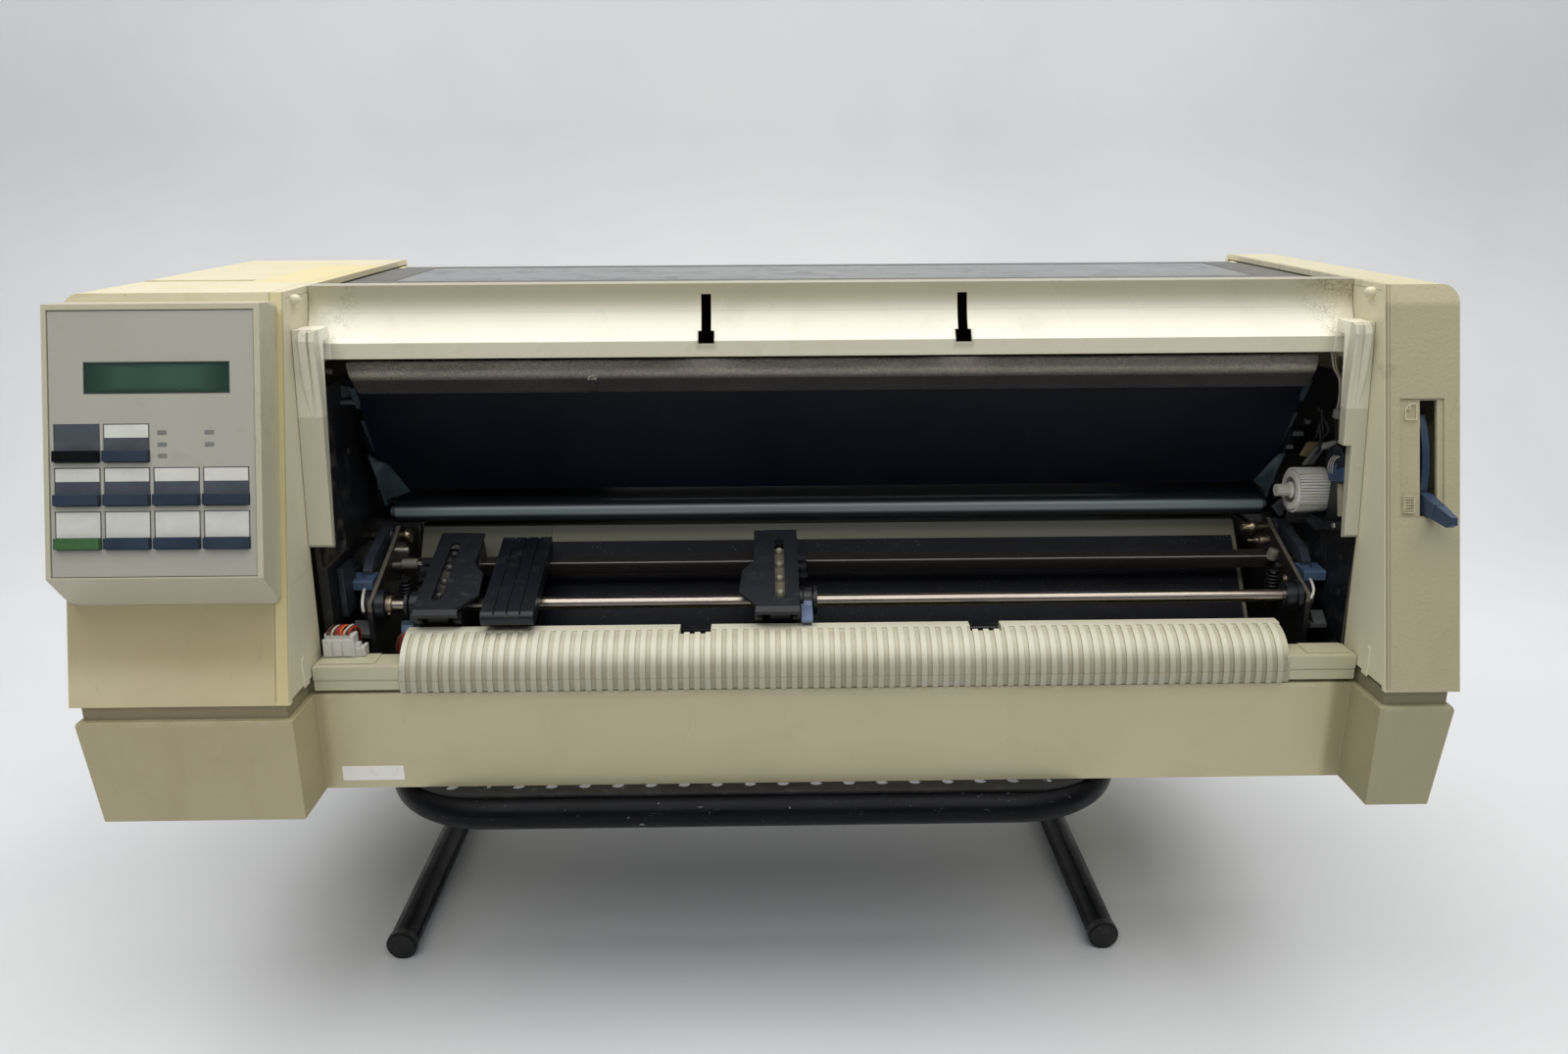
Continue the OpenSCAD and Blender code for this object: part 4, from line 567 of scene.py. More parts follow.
# ------------------------------------------------------------------ finishing the carried-over CAD nodes
FIN = {  # node: (material, bevel in mm)
 "base_pan": ("base_pan", 0.9), "left_housing": ("case_left", 0.9), "right_housing": ("case_right", 0.9), "rear_housing": ("case_rear", 0.7),
 "front_bezel": ("bezel", 0.5), "front_apron": ("apron", 0.0), "top_cover": ("cover_frame", 0.5), "cover_window": ("smoked_window", 0.3),
 "control_panel": ("control_box", 0.7), "panel_overlay": ("overlay_film", 0.12), "lcd_window": ("lcd_glass", 0.15),
 "key_menu": ("key_black", 0.4), "key_tear": ("key_navy", 0.4), "key_font": ("key_navy", 0.4), "key_pitch": ("key_navy", 0.4), "key_next": ("key_navy", 0.4),
 "key_prev": ("key_navy", 0.4), "key_start": ("key_green", 0.4), "key_load": ("key_navy", 0.4), "key_line": ("key_navy", 0.4), "key_form": ("key_navy", 0.4),
 "circuit_boards": ("circuit_board", 0.15), "select_lever": ("lever_blue", 0.5), "side_frames": ("frame_black", 0.25), "platen": ("rubber", 0.4),
 "feed_gear": ("feed_gear_white", 0.12), "baffle_panel": ("baffle_film", 0.15), "guide_bar": ("guide_slate", 0.3), "inner_brackets": ("bracket_teal", 0.2),
 "back_plate": ("plate_beige", 0.2), "slide_sheet": ("slide_film", 0.08), "support_shaft": ("shaft_hubs", 0.3), "drive_shaft": ("dull_steel", 0.35),
 "left_tractor": ("tractor_black", 0.3), "right_tractor": ("tractor_black", 0.3), "left_tractor_belt": ("belt_dark", 0.12), "right_tractor_belt": ("belt_tan", 0.12),
 "left_tractor_sprocket": ("sprocket_grey", 0.2), "right_tractor_sprocket": ("sprocket_grey", 0.2), "left_tractor_door": ("tractor_door", 0.35), "right_tractor_door": ("tractor_door", 0.35),
 "left_tractor_lever": ("latch_blue", 0.5), "right_tractor_lever": ("latch_blue", 0.5), "paper_support": ("support_dark", 0.25),
 "left_release": ("release_dark", 0.35), "right_release": ("release_dark", 0.35), "release_springs": ("studs_springs", 0.0),
 "carriage": ("mech_black", 0.5), "print_head": ("head_metal", 0.4), "ribbon_cartridge": ("mech_black", 0.6), "carriage_rails": ("bright_steel", 0.3),
 "drive_belts": ("rubber", 0.1), "motors": ("motor_metal", 0.5), "power_unit": ("sheet_metal", 0.5), "rear_sockets": ("mech_black", 0.3),
 "power_switch": ("mech_black", 0.4), "stand_frame": ("tube_black", 0.0), "stand_shelf": ("shelf_black", 0.25), "foot_caps": ("cap_rubber", 0.5)}

def finish_node(name, mat, bev):
    o = NODES[name]
    o.data.materials.clear(); o.data.materials.append(M[mat])
    if "custom_normal" in o.data.attributes: o.data.attributes.remove(o.data.attributes["custom_normal"])
    for p in o.data.polygons: p.use_smooth = True
    w = o.modifiers.new("join", "WELD"); w.merge_threshold = 2e-6
    if name == "front_bezel":
        e = o.modifiers.new("split", "EDGE_SPLIT"); e.split_angle = math.radians(24); bev = 0
    if bev > 0:
        d = o.modifiers.new("flat", "DECIMATE"); d.decimate_type = "DISSOLVE"; d.angle_limit = math.radians(0.4)
        o.modifiers.new("tri", "TRIANGULATE")
        b = o.modifiers.new("round", "BEVEL"); b.width = bev / 1000; b.segments = 2; b.limit_method = "ANGLE"
        b.angle_limit = math.radians(31); b.use_clamp_overlap = True; b.miter_outer = "MITER_ARC"
    n = o.modifiers.new("shade", "WEIGHTED_NORMAL"); n.keep_sharp = True; n.weight = 60; n.mode = "FACE_AREA"
for n, (m, b) in FIN.items(): finish_node(n, m, b)

# ------------------------------------------------------------------ makers of detail pieces
def piece(name, bm, mat, body="chassis", bev=0.0, smooth=True, seg=2):
    me = bpy.data.meshes.new(name); bmesh.ops.recalc_face_normals(bm, faces=bm.faces); bm.to_mesh(me); bm.free()
    o = bpy.data.objects.new(name, me); bpy.context.scene.collection.objects.link(o)
    for p in me.polygons: p.use_smooth = smooth
    for q in (mat if isinstance(mat, (list, tuple)) else [mat]): me.materials.append(M[q])
    if bev > 0:
        b = o.modifiers.new("round", "BEVEL"); b.width = bev / 1000; b.segments = seg; b.limit_method = "ANGLE"; b.angle_limit = math.radians(35)
    if smooth:
        w = o.modifiers.new("shade", "WEIGHTED_NORMAL"); w.keep_sharp = True
    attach(o, body)
    return o

def add_box(bm, corners):
    """corners: function (i, j, k) in 0/1 to a point."""
    v = {(i, j, k): bm.verts.new(corners(i, j, k)) for i in (0, 1) for j in (0, 1) for k in (0, 1)}
    for f in [((0,0,0),(0,1,0),(1,1,0),(1,0,0)), ((0,0,1),(1,0,1),(1,1,1),(0,1,1)), ((0,0,0),(1,0,0),(1,0,1),(0,0,1)),
              ((0,1,0),(0,1,1),(1,1,1),(1,1,0)), ((0,0,0),(0,0,1),(0,1,1),(0,1,0)), ((1,0,0),(1,1,0),(1,1,1),(1,0,1))]:
        bm.faces.new([v[q] for q in f])

def fbox(bm, x0, x1, v0, v1, w0, w1):
    add_box(bm, lambda i, j, k: fr((x0, x1)[i], (v0, v1)[j], (w0, w1)[k]))
def pbox(bm, x0, x1, y0, y1, z0, z1):
    add_box(bm, lambda i, j, k: pr((x0, x1)[i], (y0, y1)[j], (z0, z1)[k]))
def dbox(bm, x0, x1, u0, u1, w0, w1):
    add_box(bm, lambda i, j, k: fd((x0, x1)[i], (u0, u1)[j], (w0, w1)[k]))

def add_prism(bm, pts, at, h):
    """pts in 2D, at(p, t) to 3D with t 0 or 1 along the height."""
    a = [bm.verts.new(at(p, 0)) for p in pts]; b = [bm.verts.new(at(p, 1)) for p in pts]
    bm.faces.new(a[::-1]); bm.faces.new(b)
    for i in range(len(pts)):
        j = (i + 1) % len(pts); bm.faces.new([a[i], a[j], b[j], b[i]])

def yzprism(bm, pts, x0, x1):
    add_prism(bm, pts, lambda p, t: pr((x0, x1)[t], p[0], p[1]), 1)

def add_lathe(bm, prof, origin, axis, seg=32, cap=True):
    """prof: list of (radius, along) in mm; axis a unit Vector; origin in metres."""
    axis = Vector(axis).normalized(); u = axis.orthogonal().normalized(); w = axis.cross(u)
    rings = []
    for r, t in prof:
        c = origin + axis * (t / 1000)
        rings.append([bm.verts.new(c + (u * math.cos(a) + w * math.sin(a)) * (r / 1000)) for a in [2 * math.pi * k / seg for k in range(seg)]])
    for A, B in zip(rings, rings[1:]):
        for k in range(seg):
            q = (k + 1) % seg; bm.faces.new([A[k], A[q], B[q], B[k]])
    if cap:
        bm.faces.new(rings[0][::-1]); bm.faces.new(rings[-1])

def screw(name, at, axis, r=2.6, mat="zinc", body="chassis", h=1.6, turn=0.4, kind="cross"):
    """A pan-head screw with a pressed cross or slot."""
    bm = bmesh.new(); axis = Vector(axis).normalized(); u = axis.orthogonal().normalized(); w = axis.cross(u)
    u, w = u * math.cos(turn) + w * math.sin(turn), -u * math.sin(turn) + w * math.cos(turn)
    N = 32; o = Vector(at)
    def pt(a, b, t): return o + (u * a + w * b + axis * t) / 1000
    rings = []
    for rr, t in [(r, 0), (r, h * 0.35), (r * 0.86, h * 0.78), (r * 0.66, h)]:
        rings.append([bm.verts.new(pt(rr * math.cos(2 * math.pi * k / N), rr * math.sin(2 * math.pi * k / N), t)) for k in range(N)])
    for A, B in zip(rings, rings[1:]):
        for k in range(N): bm.faces.new([A[k], A[(k + 1) % N], B[(k + 1) % N], B[k]])
    a, b = r * 0.13, r * 0.52
    if kind == "cross": cr = [(a, a), (b, a), (b, -a), (a, -a), (a, -b), (-a, -b), (-a, -a), (-b, -a), (-b, a), (-a, a), (-a, b), (a, b)]
    else: cr = [(b * 1.1, a), (b * 1.1, -a), (-b * 1.1, -a), (-b * 1.1, a)]
    topc = [bm.verts.new(pt(p[0], p[1], h)) for p in cr]; lowc = [bm.verts.new(pt(p[0] * 0.8, p[1] * 0.8, h * 0.35)) for p in cr]
    for k in range(len(cr)): bm.faces.new([topc[k], topc[(k + 1) % len(cr)], lowc[(k + 1) % len(cr)], lowc[k]])
    bm.faces.new(lowc)
    edges = []
    for ring in (rings[-1], topc):
        for k in range(len(ring)):
            e = bm.edges.get((ring[k], ring[(k + 1) % len(ring)])); edges.append(e)
    bmesh.ops.triangle_fill(bm, edges=edges, use_beauty=True)
    bm.faces.new(rings[0][::-1])
    return piece(name, bm, mat, body, 0.0, True)

def tube(name, pts, r, mat, body="chassis", cyclic=False, res=6, smooth_path=True):
    """A round wire or rod as a mesh tube along pts (in metres)."""
    P = [Vector(p) for p in pts]
    if smooth_path and len(P) > 2:
        Q = []
        for i in range(len(P) - 1):
            p0 = P[max(i - 1, 0)]; p1 = P[i]; p2 = P[i + 1]; p3 = P[min(i + 2, len(P) - 1)]
            for k in range(res):
                t = k / res
                Q.append(0.5 * ((2 * p1) + (-p0 + p2) * t + (2 * p0 - 5 * p1 + 4 * p2 - p3) * t * t + (-p0 + 3 * p1 - 3 * p2 + p3) * t ** 3))
        Q.append(P[-1]); P = Q
    bm = bmesh.new(); N = 12; rings = []; nrm = None
    for i, p in enumerate(P):
        d = (P[min(i + 1, len(P) - 1)] - P[max(i - 1, 0)]).normalized()
        nrm = d.orthogonal().normalized() if nrm is None else (nrm - d * nrm.dot(d)).normalized()
        b = d.cross(nrm)
        rings.append([bm.verts.new(p + (nrm * math.cos(2 * math.pi * k / N) + b * math.sin(2 * math.pi * k / N)) * (r / 1000)) for k in range(N)])
    for A, B in zip(rings, rings[1:]):
        for k in range(N): bm.faces.new([A[k], A[(k + 1) % N], B[(k + 1) % N], B[k]])
    bm.faces.new(rings[0][::-1]); bm.faces.new(rings[-1])
    return piece(name, bm, mat, body, 0.0, True)

# ------------------------------------------------------------------ the ribbed guide: the node's own shape, every rib strip joined arc to arc
def ribbed_guide():
    bm = bmesh.new(); bm.from_mesh(NODES["front_apron"].data); bmesh.ops.remove_doubles(bm, verts=bm.verts, dist=2e-6)
    def polar(v):
        y, z = v.co.y * 1000 + YM - 50, v.co.z * 1000 - SH - 60
        return math.hypot(y, z), math.degrees(math.atan2(z, -y)), round(v.co.x * 1000, 1)
    strips = {}
    for f in bm.faces:
        q = [polar(v) for v in f.verts]; R = 22.0 if abs(q[0][0] - 22.0) < 0.05 else 21.1
        if max(abs(a[0] - R) for a in q) > 0.05: continue
        xs = sorted(set(a[2] for a in q))
        if len(xs) == 2 and xs[1] - xs[0] < 6: strips.setdefault((xs[0], xs[1], R), []).append(f)
    for (xa, xb, R), faces in strips.items():
        if max(max(polar(v)[1] for v in f.verts) - min(polar(v)[1] for v in f.verts) for f in faces) < 14: continue
        vs = set(v for f in faces for v in f.verts)
        A = sorted([v for v in vs if polar(v)[2] == xa], key=lambda v: polar(v)[1]); B = sorted([v for v in vs if polar(v)[2] == xb], key=lambda v: polar(v)[1])
        old = set(e for f in faces for e in f.edges)
        bmesh.ops.delete(bm, geom=faces, context="FACES_ONLY")
        bmesh.ops.delete(bm, geom=[e for e in old if e.is_valid and not e.link_faces], context="EDGES")
        i = j = 0
        while i < len(A) - 1 or j < len(B) - 1:
            a = polar(A[i + 1])[1] if i < len(A) - 1 else 1e9; b = polar(B[j + 1])[1] if j < len(B) - 1 else 1e9
            if abs(a - b) < 0.4: bm.faces.new([A[i], A[i + 1], B[j + 1], B[j]]); i += 1; j += 1
            elif a < b: bm.faces.new([A[i], A[i + 1], B[j]]); i += 1
            else: bm.faces.new([A[i], B[j + 1], B[j]]); j += 1
    bmesh.ops.dissolve_limit(bm, angle_limit=math.radians(0.4), verts=bm.verts, edges=bm.edges)
    bmesh.ops.triangulate(bm, faces=[f for f in bm.faces if len(f.verts) > 4])
    o = piece("ribbed_guide", bm, "apron", bev=0.2)
    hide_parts("front_apron"); return o
ribbed_guide()

# ------------------------------------------------------------------ control box: printed cells, lines, indicators
KX = lambda c: -335.4 + 23.2 * c
KT = lambda r: 137 - 20.6 * r
CELLS = [(0, 0), (1, 0), (0, 1), (1, 1), (2, 1), (3, 1), (0, 2), (1, 2), (2, 2), (3, 2)]
bl, bs, bn = bmesh.new(), bmesh.new(), bmesh.new()
W0, WT = 19.38, 19.46
for c_, r_ in CELLS:
    x0, x1, v1, v0 = KX(c_), KX(c_) + 21.2, KT(r_), KT(r_) - 12.3
    vb = KT(r_) - 17.9
    full = (c_, r_) == (0, 0)
    mid = KT(r_) - 6.4
    if full: fbox(bs, x0 + 0.3, x1 - 0.3, v0, v1 - 0.3, W0, WT)
    elif r_ < 2:
        fbox(bl, x0 + 0.3, x1 - 0.3, mid, v1 - 0.3, W0, WT); fbox(bs, x0 + 0.3, x1 - 0.3, v0, mid - 0.1, W0, WT)
    else: fbox(bl, x0 + 0.3, x1 - 0.3, v0, v1 - 0.3, W0, WT)
    # printed outline round the whole key place
    t = 0.34
    for a in [(x0 - t * 0.6, x0 + 0.32, vb, v1 + t * 0.4), (x1 - 0.32, x1 + t * 0.6, vb, v1 + t * 0.4), (x0 - t * 0.6, x1 + t * 0.6, v1 - 0.3, v1 + t * 0.4), (x0, x1, v0 - 0.22, v0 + 0.04)]:
        fbox(bn, a[0], a[1], a[2], a[3], W0, WT + 0.02)
piece("print_cells_light", bl, "cell_light", smooth=False)
piece("print_cells_slate", bs, "cell_slate", smooth=False)
piece("print_cell_lines", bn, "cell_line", smooth=False)

bm = bmesh.new()
for x, v in [(-284.9, 132.9), (-284.9, 127.25), (-284.9, 121.95), (-262.8, 132.9), (-262.8, 127.25)]:
    pts = [(x - 2.2 + 4.4 * (0.5 + 0.5 * cx) , v + 1.0 * cy) for cx, cy in [(-1, -0.7), (-0.9, -1), (0.9, -1), (1, -0.7), (1, 0.7), (0.9, 1), (-0.9, 1), (-1, 0.7)]]
    add_prism(bm, pts, lambda p, t: fr(p[0], p[1], (19.3, 19.62)[t]), 1)
piece("indicator_windows", bm, "led_off", bev=0.12)

# thin dark reveal round the display
bm = bmesh.new()
for a in [(-321.2, -252.8, 165.7, 166.2), (-321.2, -252.8, 151.2, 151.7), (-321.2, -320.7, 151.2, 166.2), (-253.3, -252.8, 151.2, 166.2)]:
    fbox(bm, *a, 19.3, 19.52)
piece("display_reveal", bm, "cell_line", smooth=False)

# ------------------------------------------------------------------ right housing: two generic moulded marks by the lever
bm = bmesh.new()
def ridge(bm, pts, w, h, wbase=0.0, closed=True):
    """A raised line of width w along 2D points (x, v) on the sloping front."""
    n = len(pts)
    for i in range(n if closed else n - 1):
        (xa, va), (xb, vb) = pts[i], pts[(i + 1) % n]
        d = Vector((xb - xa, vb - va)); L = d.length; d /= L; q = Vector((-d.y, d.x)) * w / 2; e = d * w / 2
        c4 = [(xa - e.x + q.x, va - e.y + q.y), (xa - e.x - q.x, va - e.y - q.y), (xb + e.x - q.x, vb + e.y - q.y), (xb + e.x + q.x, vb + e.y + q.y)]
        add_prism(bm, c4, lambda p, t: fr(p[0], p[1], (wbase - 0.3, wbase + h)[t]), 1)
V = lambda z: (z - 63) / SS      # height on the slope to v
ridge(bm, [(315.4, V(192.9)), (321.0, V(192.9)), (321.0, V(200.4)), (317.6, V(200.4)), (315.4, V(197.8))], 0.45, 0.3)
ridge(bm, [(317.6, V(200.4)), (317.6, V(197.8)), (315.4, V(197.8))], 0.35, 0.3, closed=False)
ridge(bm, [(314.6, V(148.7)), (319.8, V(148.7)), (319.8, V(156.5)), (314.6, V(156.5))], 0.45, 0.3)
for k in range(5):
    z = 149.9 + k * 1.35
    for x in (315.5, 318.9): ridge(bm, [(x - 0.2, V(z)), (x + 0.2, V(z))], 0.5, 0.3, closed=False)
    ridge(bm, [(316.5, V(z)), (317.9, V(z))], 0.35, 0.25, closed=False)
piece("lever_marks", bm, "icon_cream", bev=0.08, seg=1)

# ------------------------------------------------------------------ blank sticker on the base
bm = bmesh.new()
def sticker(p, t):
    x, z = p; lift = 0.35 * max(0, (x - (-191.5)) / 4) ** 2 * (1 if z < 6 else 0)
    return pr(x, 30.98 - (0.0, 0.12)[t] - lift, z)
# lies on the recessed panel
pts = []
X0, X1, Z0, Z1 = -226.0, -193.8, 4.6, 12.9
for a, b, r0 in [(X0, Z0, 0.5), (X1, Z0, 0.9), (X1, Z1, 0.5), (X0, Z1, 0.5)]:
    sx = 1 if a == X0 else -1; sz = 1 if b == Z0 else -1
    cxx, czz = a + sx * r0, b + sz * r0
    base = {(1, 1): 180, (-1, 1): 270, (-1, -1): 0, (1, -1): 90}[(sx, sz)]
    for k in range(5):
        an = math.radians(base + 22.5 * k); pts.append((cxx + r0 * math.cos(an), czz + r0 * math.sin(an)))
add_prism(bm, pts, sticker, 1)
piece("blank_label", bm, "paper_label", smooth=False)

# ------------------------------------------------------------------ small parts at the left end of the bay
def xzprism(bm, pts, y0, y1):
    add_prism(bm, pts, lambda p, t: pr(p[0], (y0, y1)[t], p[1]), 1)
def xrod(bm, x0, x1, y, z, r, seg=24, chamfer=0.3):
    add_lathe(bm, [(r - chamfer, x0), (r, x0 + chamfer), (r, x1 - chamfer), (r - chamfer, x1)], pr(0, y, z), (1, 0, 0), seg)

bm = bmesh.new()
pbox(bm, -231.8, -216.4, 40.6, 48.0, 70.9, 79.6)                      # moulded body of the plug
for x in (-231.8, -226.6, -221.4): pbox(bm, x, x + 4.4, 39.9, 40.8, 71.4, 81.2)
pbox(bm, -232.0, -216.0, 44.0, 48.4, 79.2, 82.4); pbox(bm, -217.4, -215.6, 40.2, 48.2, 71.0, 82.6)
piece("plug_body", bm, "nylon", bev=0.45)
bm = bmesh.new()
pbox(bm, -216.2, -211.2, 41.4, 47.2, 70.9, 75.6); pbox(bm, -212.2, -210.5, 41.0, 47.6, 70.9, 76.4); pbox(bm, -216.2, -213.4, 42.2, 46.4, 75.4, 77.6)
piece("plug_foot", bm, "nylon", bev=0.35)
rw = random.Random(11)
for k, (m_, x) in enumerate([("wire_brown", -229.6), ("wire_brown", -228.4), ("wire_white", -227.2), ("wire_brown", -226.0), ("wire_red", -224.9), ("wire_red", -223.6), ("wire_orange", -222.6), ("wire_orange", -221.4), ("wire_white", -220.6), ("wire_brown", -219.6), ("wire_red", -218.6)]):
    a, b = rw.uniform(-0.5, 0.5), rw.uniform(-0.4, 0.6)
    tube("plug_wire_%d" % k, [pr(x - 0.6, 44.6, 81.4), pr(x - 0.4, 44.0, 83.2 + b * 0.5), pr(x + 1.0 + a, 45.4, 85.2 + b), pr(x + 2.2 + a, 49.4, 85.0 + b), pr(x + 1.8, 54.0, 80.6), pr(x + 1.0, 57.0, 73.0)], 0.5, m_)
for k, (m_, x) in enumerate([("wire_brown", -198.9), ("wire_red", -198.0), ("wire_brown", -199.8)]):
    tube("left_loom_%d" % k, [pr(x - 0.4, 58.2, 66.0), pr(x + 0.2, 58.0, 70.6), pr(x + 1.5, 58.4, 74.2), pr(x + 3.6, 59.6, 76.2), pr(x + 7.0, 61.4, 76.8)], 0.42, m_)

bm = bmesh.new(); xrod(bm, -215.5, -211.5, 86, 92.8, 2.3); xrod(bm, -211.7, -210.9, 86, 92.8, 1.5, chamfer=0.15)
piece("left_pin_front", bm, "tan_metal")
bm = bmesh.new(); xrod(bm, -214.4, -203.7, 108, 107.5, 1.7)
for k in range(6): xrod(bm, -209.4 + k * 0.95, -208.9 + k * 0.95, 108, 107.5, 2.05, chamfer=0.1)
piece("left_rod_rear", bm, "zinc")
bm = bmesh.new(); xrod(bm, -213.4, -206.0, 100, 101.4, 1.2); xrod(bm, -205.7, -196.7, 100, 101.8, 2.9, 28, 0.5); xrod(bm, -196.9, -194.6, 100, 101.8, 1.3)
piece("left_roller", bm, "dull_nylon")
bm = bmesh.new(); pbox(bm, -211.4, -205.8, 98.8, 103.4, 97.6, 100.2); pbox(bm, -211.4, -207.4, 99.2, 101.6, 92.4, 97.8)
piece("left_roller_arm", bm, "mech_black", bev=0.4)

# white rods that hang from the release arms
tube("left_rod_white", [pr(-219.3, 75.0, 96.2), pr(-217.2, 66.0, 95.8), pr(-216.1, 60.4, 92.6), pr(-215.6, 59.6, 88.6)], 0.8, "nylon", "release_l", res=4)
tube("right_rod_white", [pr(296.6, 75.0, 96.4), pr(293.8, 66.0, 97.2), pr(292.6, 60.6, 94.6), pr(291.0, 59.4, 90.6)], 0.7, "nylon", "release_r", res=4)
for nm, x0, x1 in (("left_shaft_collar", -206.2, -202.8), ("right_shaft_collar", 283.4, 286.6)):
    bm = bmesh.new(); add_lathe(bm, [(3.6, x0), (5.0, x0), (5.2, x0 + 0.3), (5.2, x1 - 0.3), (5.0, x1), (3.6, x1)], pr(0, 70, 88.7), (1, 0, 0), 32, cap=False); piece(nm, bm, "tan_metal")
    screw(nm + "_screw", pr((x0 + x1) / 2, 66.4, 85.0), (0, -0.7, -0.7), 1.0, "zinc", h=0.7)
# painted shade: a small dark disc on top of each handle stands in for the shade in its hole
for nm, x, bd in (("left_handle_hole", -220.5, "release_l"), ("right_handle_hole", 298.8, "release_r")):
    bm = bmesh.new(); add_lathe(bm, [(0.75, -0.3), (0.75, 0.05), (0.5, 0.08)], pr(x, 80.2, 101.8), (0, 0, 1), 16); piece(nm, bm, "cell_line", bd)

# left cheek of the bay: pins, a folded plate and a lip
bm = bmesh.new(); xrod(bm, -233.2, -228.6, 90, 212.3, 1.6); xrod(bm, -233.4, -228.9, 98, 176.4, 1.5); xrod(bm, -233.2, -228.3, 100, 167.0, 1.9); xrod(bm, -233.2, -230.2, 92, 150.0, 1.2)
piece("left_cheek_pins", bm, "zinc")
bm = bmesh.new(); xzprism(bm, [(-233.0, 196.2), (-230.2, 203.3), (-222.9, 202.5), (-225.0, 196.5)], 99.4, 100.6); pbox(bm, -233.4, -220.2, 96.4, 100.6, 193.4, 195.6)
piece("left_cheek_plate", bm, "smoke_grey", bev=0.25)
bm = bmesh.new(); pbox(bm, -228.4, -224.8, 62.0, 80.0, 84.6, 112.0); pbox(bm, -228.4, -226.6, 80.0, 92.0, 92.6, 104.0)
piece("left_cheek_block", bm, "mech_slate", bev=0.6)
bm = bmesh.new()
yzprism(bm, [(50.9, 66.4), (53.0, 66.4), (53.0, 108), (52.0, 111), (50.9, 111)], -230.8, -229.6)
piece("left_cheek_strip", bm, "smoke_grey", bev=0.3)

# dark blinds inside the housings, over the joint with the base
bm = bmesh.new(); pbox(bm, 326.6, 328.2, 118, 318, 48, 80); pbox(bm, -329.0, -327.4, 190, 318, 48, 80)
piece("inner_blinds", bm, "mech_black", bev=0.3)
# thin folded edges beside the baffle
for nm, x0, sg in (("left_baffle_edge", -221.6, 1), ("right_baffle_edge", 292.4, -1)):
    bm = bmesh.new()
    for (ya, za), (yb, zb), w_ in (((92.6, 203.6), (101.0, 191.0), 3.4), ((106.0, 183.2), (119.6, 162.0), 3.0)):
        d_y, d_z = (yb - ya), (zb - za); L_ = math.hypot(d_y, d_z); ny, nz = -d_z / L_, d_y / L_
        add_box(bm, lambda i, j, k: pr(x0 + sg * (0, w_)[i], ya + d_y * j - abs(ny) * (0.5, 1.3)[k], za + d_z * j - abs(nz) * (0.5, 1.3)[k]))
    piece(nm, bm, "teal_edge", bev=0.2)

# inner lower lips of both housings
for nm, x0, x1, y0, y1 in (("left_lower_lip", -235.6, -234.5, 19.2, 25.8), ("right_lower_lip", 304.6, 305.7, 18.6, 24.2)):
    bm = bmesh.new(); yzprism(bm, [(y0, 63.4), (y1, 63.4), (y1, 77.0), (y1 - 0.8, 78.8), (y0 + 2.2, 79.6), (y0 + 0.6, 78.4), (y0, 76.0)], x0, x1)
    piece(nm, bm, "case_left" if x0 < 0 else "case_right", bev=0.35)

# ------------------------------------------------------------------ small parts at the right end of the bay
bm = bmesh.new(); xrod(bm, 287.9, 293.0, 88, 91.3, 3.2, 32, 0.45); xrod(bm, 287.5, 288.2, 88, 91.3, 2.2, chamfer=0.15)
piece("right_pin_front", bm, "tan_metal")
bm = bmesh.new(); xrod(bm, 281.2, 287.2, 110, 107.6, 2.5, 28, 0.5); xrod(bm, 279.0, 281.4, 110, 107.6, 1.7); xrod(bm, 274.8, 279.2, 110, 107.6, 0.8, chamfer=0.15)
piece("right_roller_pin", bm, "tan_metal")
bm = bmesh.new()
add_lathe(bm, [(2.6, -1.6), (3.1, -0.6), (3.1, 3.8), (2.5, 5.4)], pr(285.0, 100, 100.4), (0.30, 0, 0.95), 28)
piece("right_white_cap", bm, "dull_nylon")
bm = bmesh.new(); add_lathe(bm, [(2.0, -0.8), (2.7, -0.2), (2.7, 2.4), (2.0, 3.2)], pr(291.6, 94.0, 97.4), (0.9, -0.3, 0.2), 24); xrod(bm, 286.0, 292.0, 96.0, 96.4, 2.4)
piece("right_black_nuts", bm, "hub_black")
bm = bmesh.new(); xzprism(bm, [(300.4, 133.7), (291.0, 124.4), (295.2, 119.2), (301.4, 125.2)], 119.0, 121.4); xzprism(bm, [(292.6, 127.2), (291.0, 124.4), (295.2, 119.2), (297.4, 121.2)], 117.4, 119.2)
piece("right_wedge", bm, "smoke_grey", bev=0.3)
screw("teal_bracket_screw", pr(290.9, 131.2, 136.9), (0, -1, 0.35), 1.5, "zinc", h=0.9)

bm = bmesh.new(); yzprism(bm, [(84.7, 186.7), (69.1, 188.6), (65.5, 175.9), (80.1, 172.6)], 304.3, 305.5); yzprism(bm, [(84.7, 186.7), (79.8, 187.4), (75.6, 173.6), (80.1, 172.6)], 302.6, 304.5)
yzprism(bm, [(71.8, 151.2), (63.5, 153.2), (60.9, 136.3), (67.0, 134.4)], 304.3, 305.5)
piece("right_cheek_plates", bm, "tan_metal", bev=0.25)
bm = bmesh.new(); yzprism(bm, [(71.8, 151.2), (67.6, 152.2), (63.8, 135.4), (67.0, 134.4)], 303.0, 304.5); yzprism(bm, [(64.6, 171.2), (62.0, 171.8), (60.6, 164.4), (63.2, 163.8)], 303.0, 305.5)
piece("right_cheek_light", bm, "brass_pale", bev=0.25)
bm = bmesh.new(); add_lathe(bm, [(9.2, -3.2), (9.2, -1.6), (8.2, -1.6), (8.2, -2.2), (5.4, -2.2), (5.4, -3.4), (2.4, -3.6)][::-1], pr(305.4, 77.0, 161.4), (1, 0, 0), 40)
piece("right_cheek_drum", bm, "mech_slate")
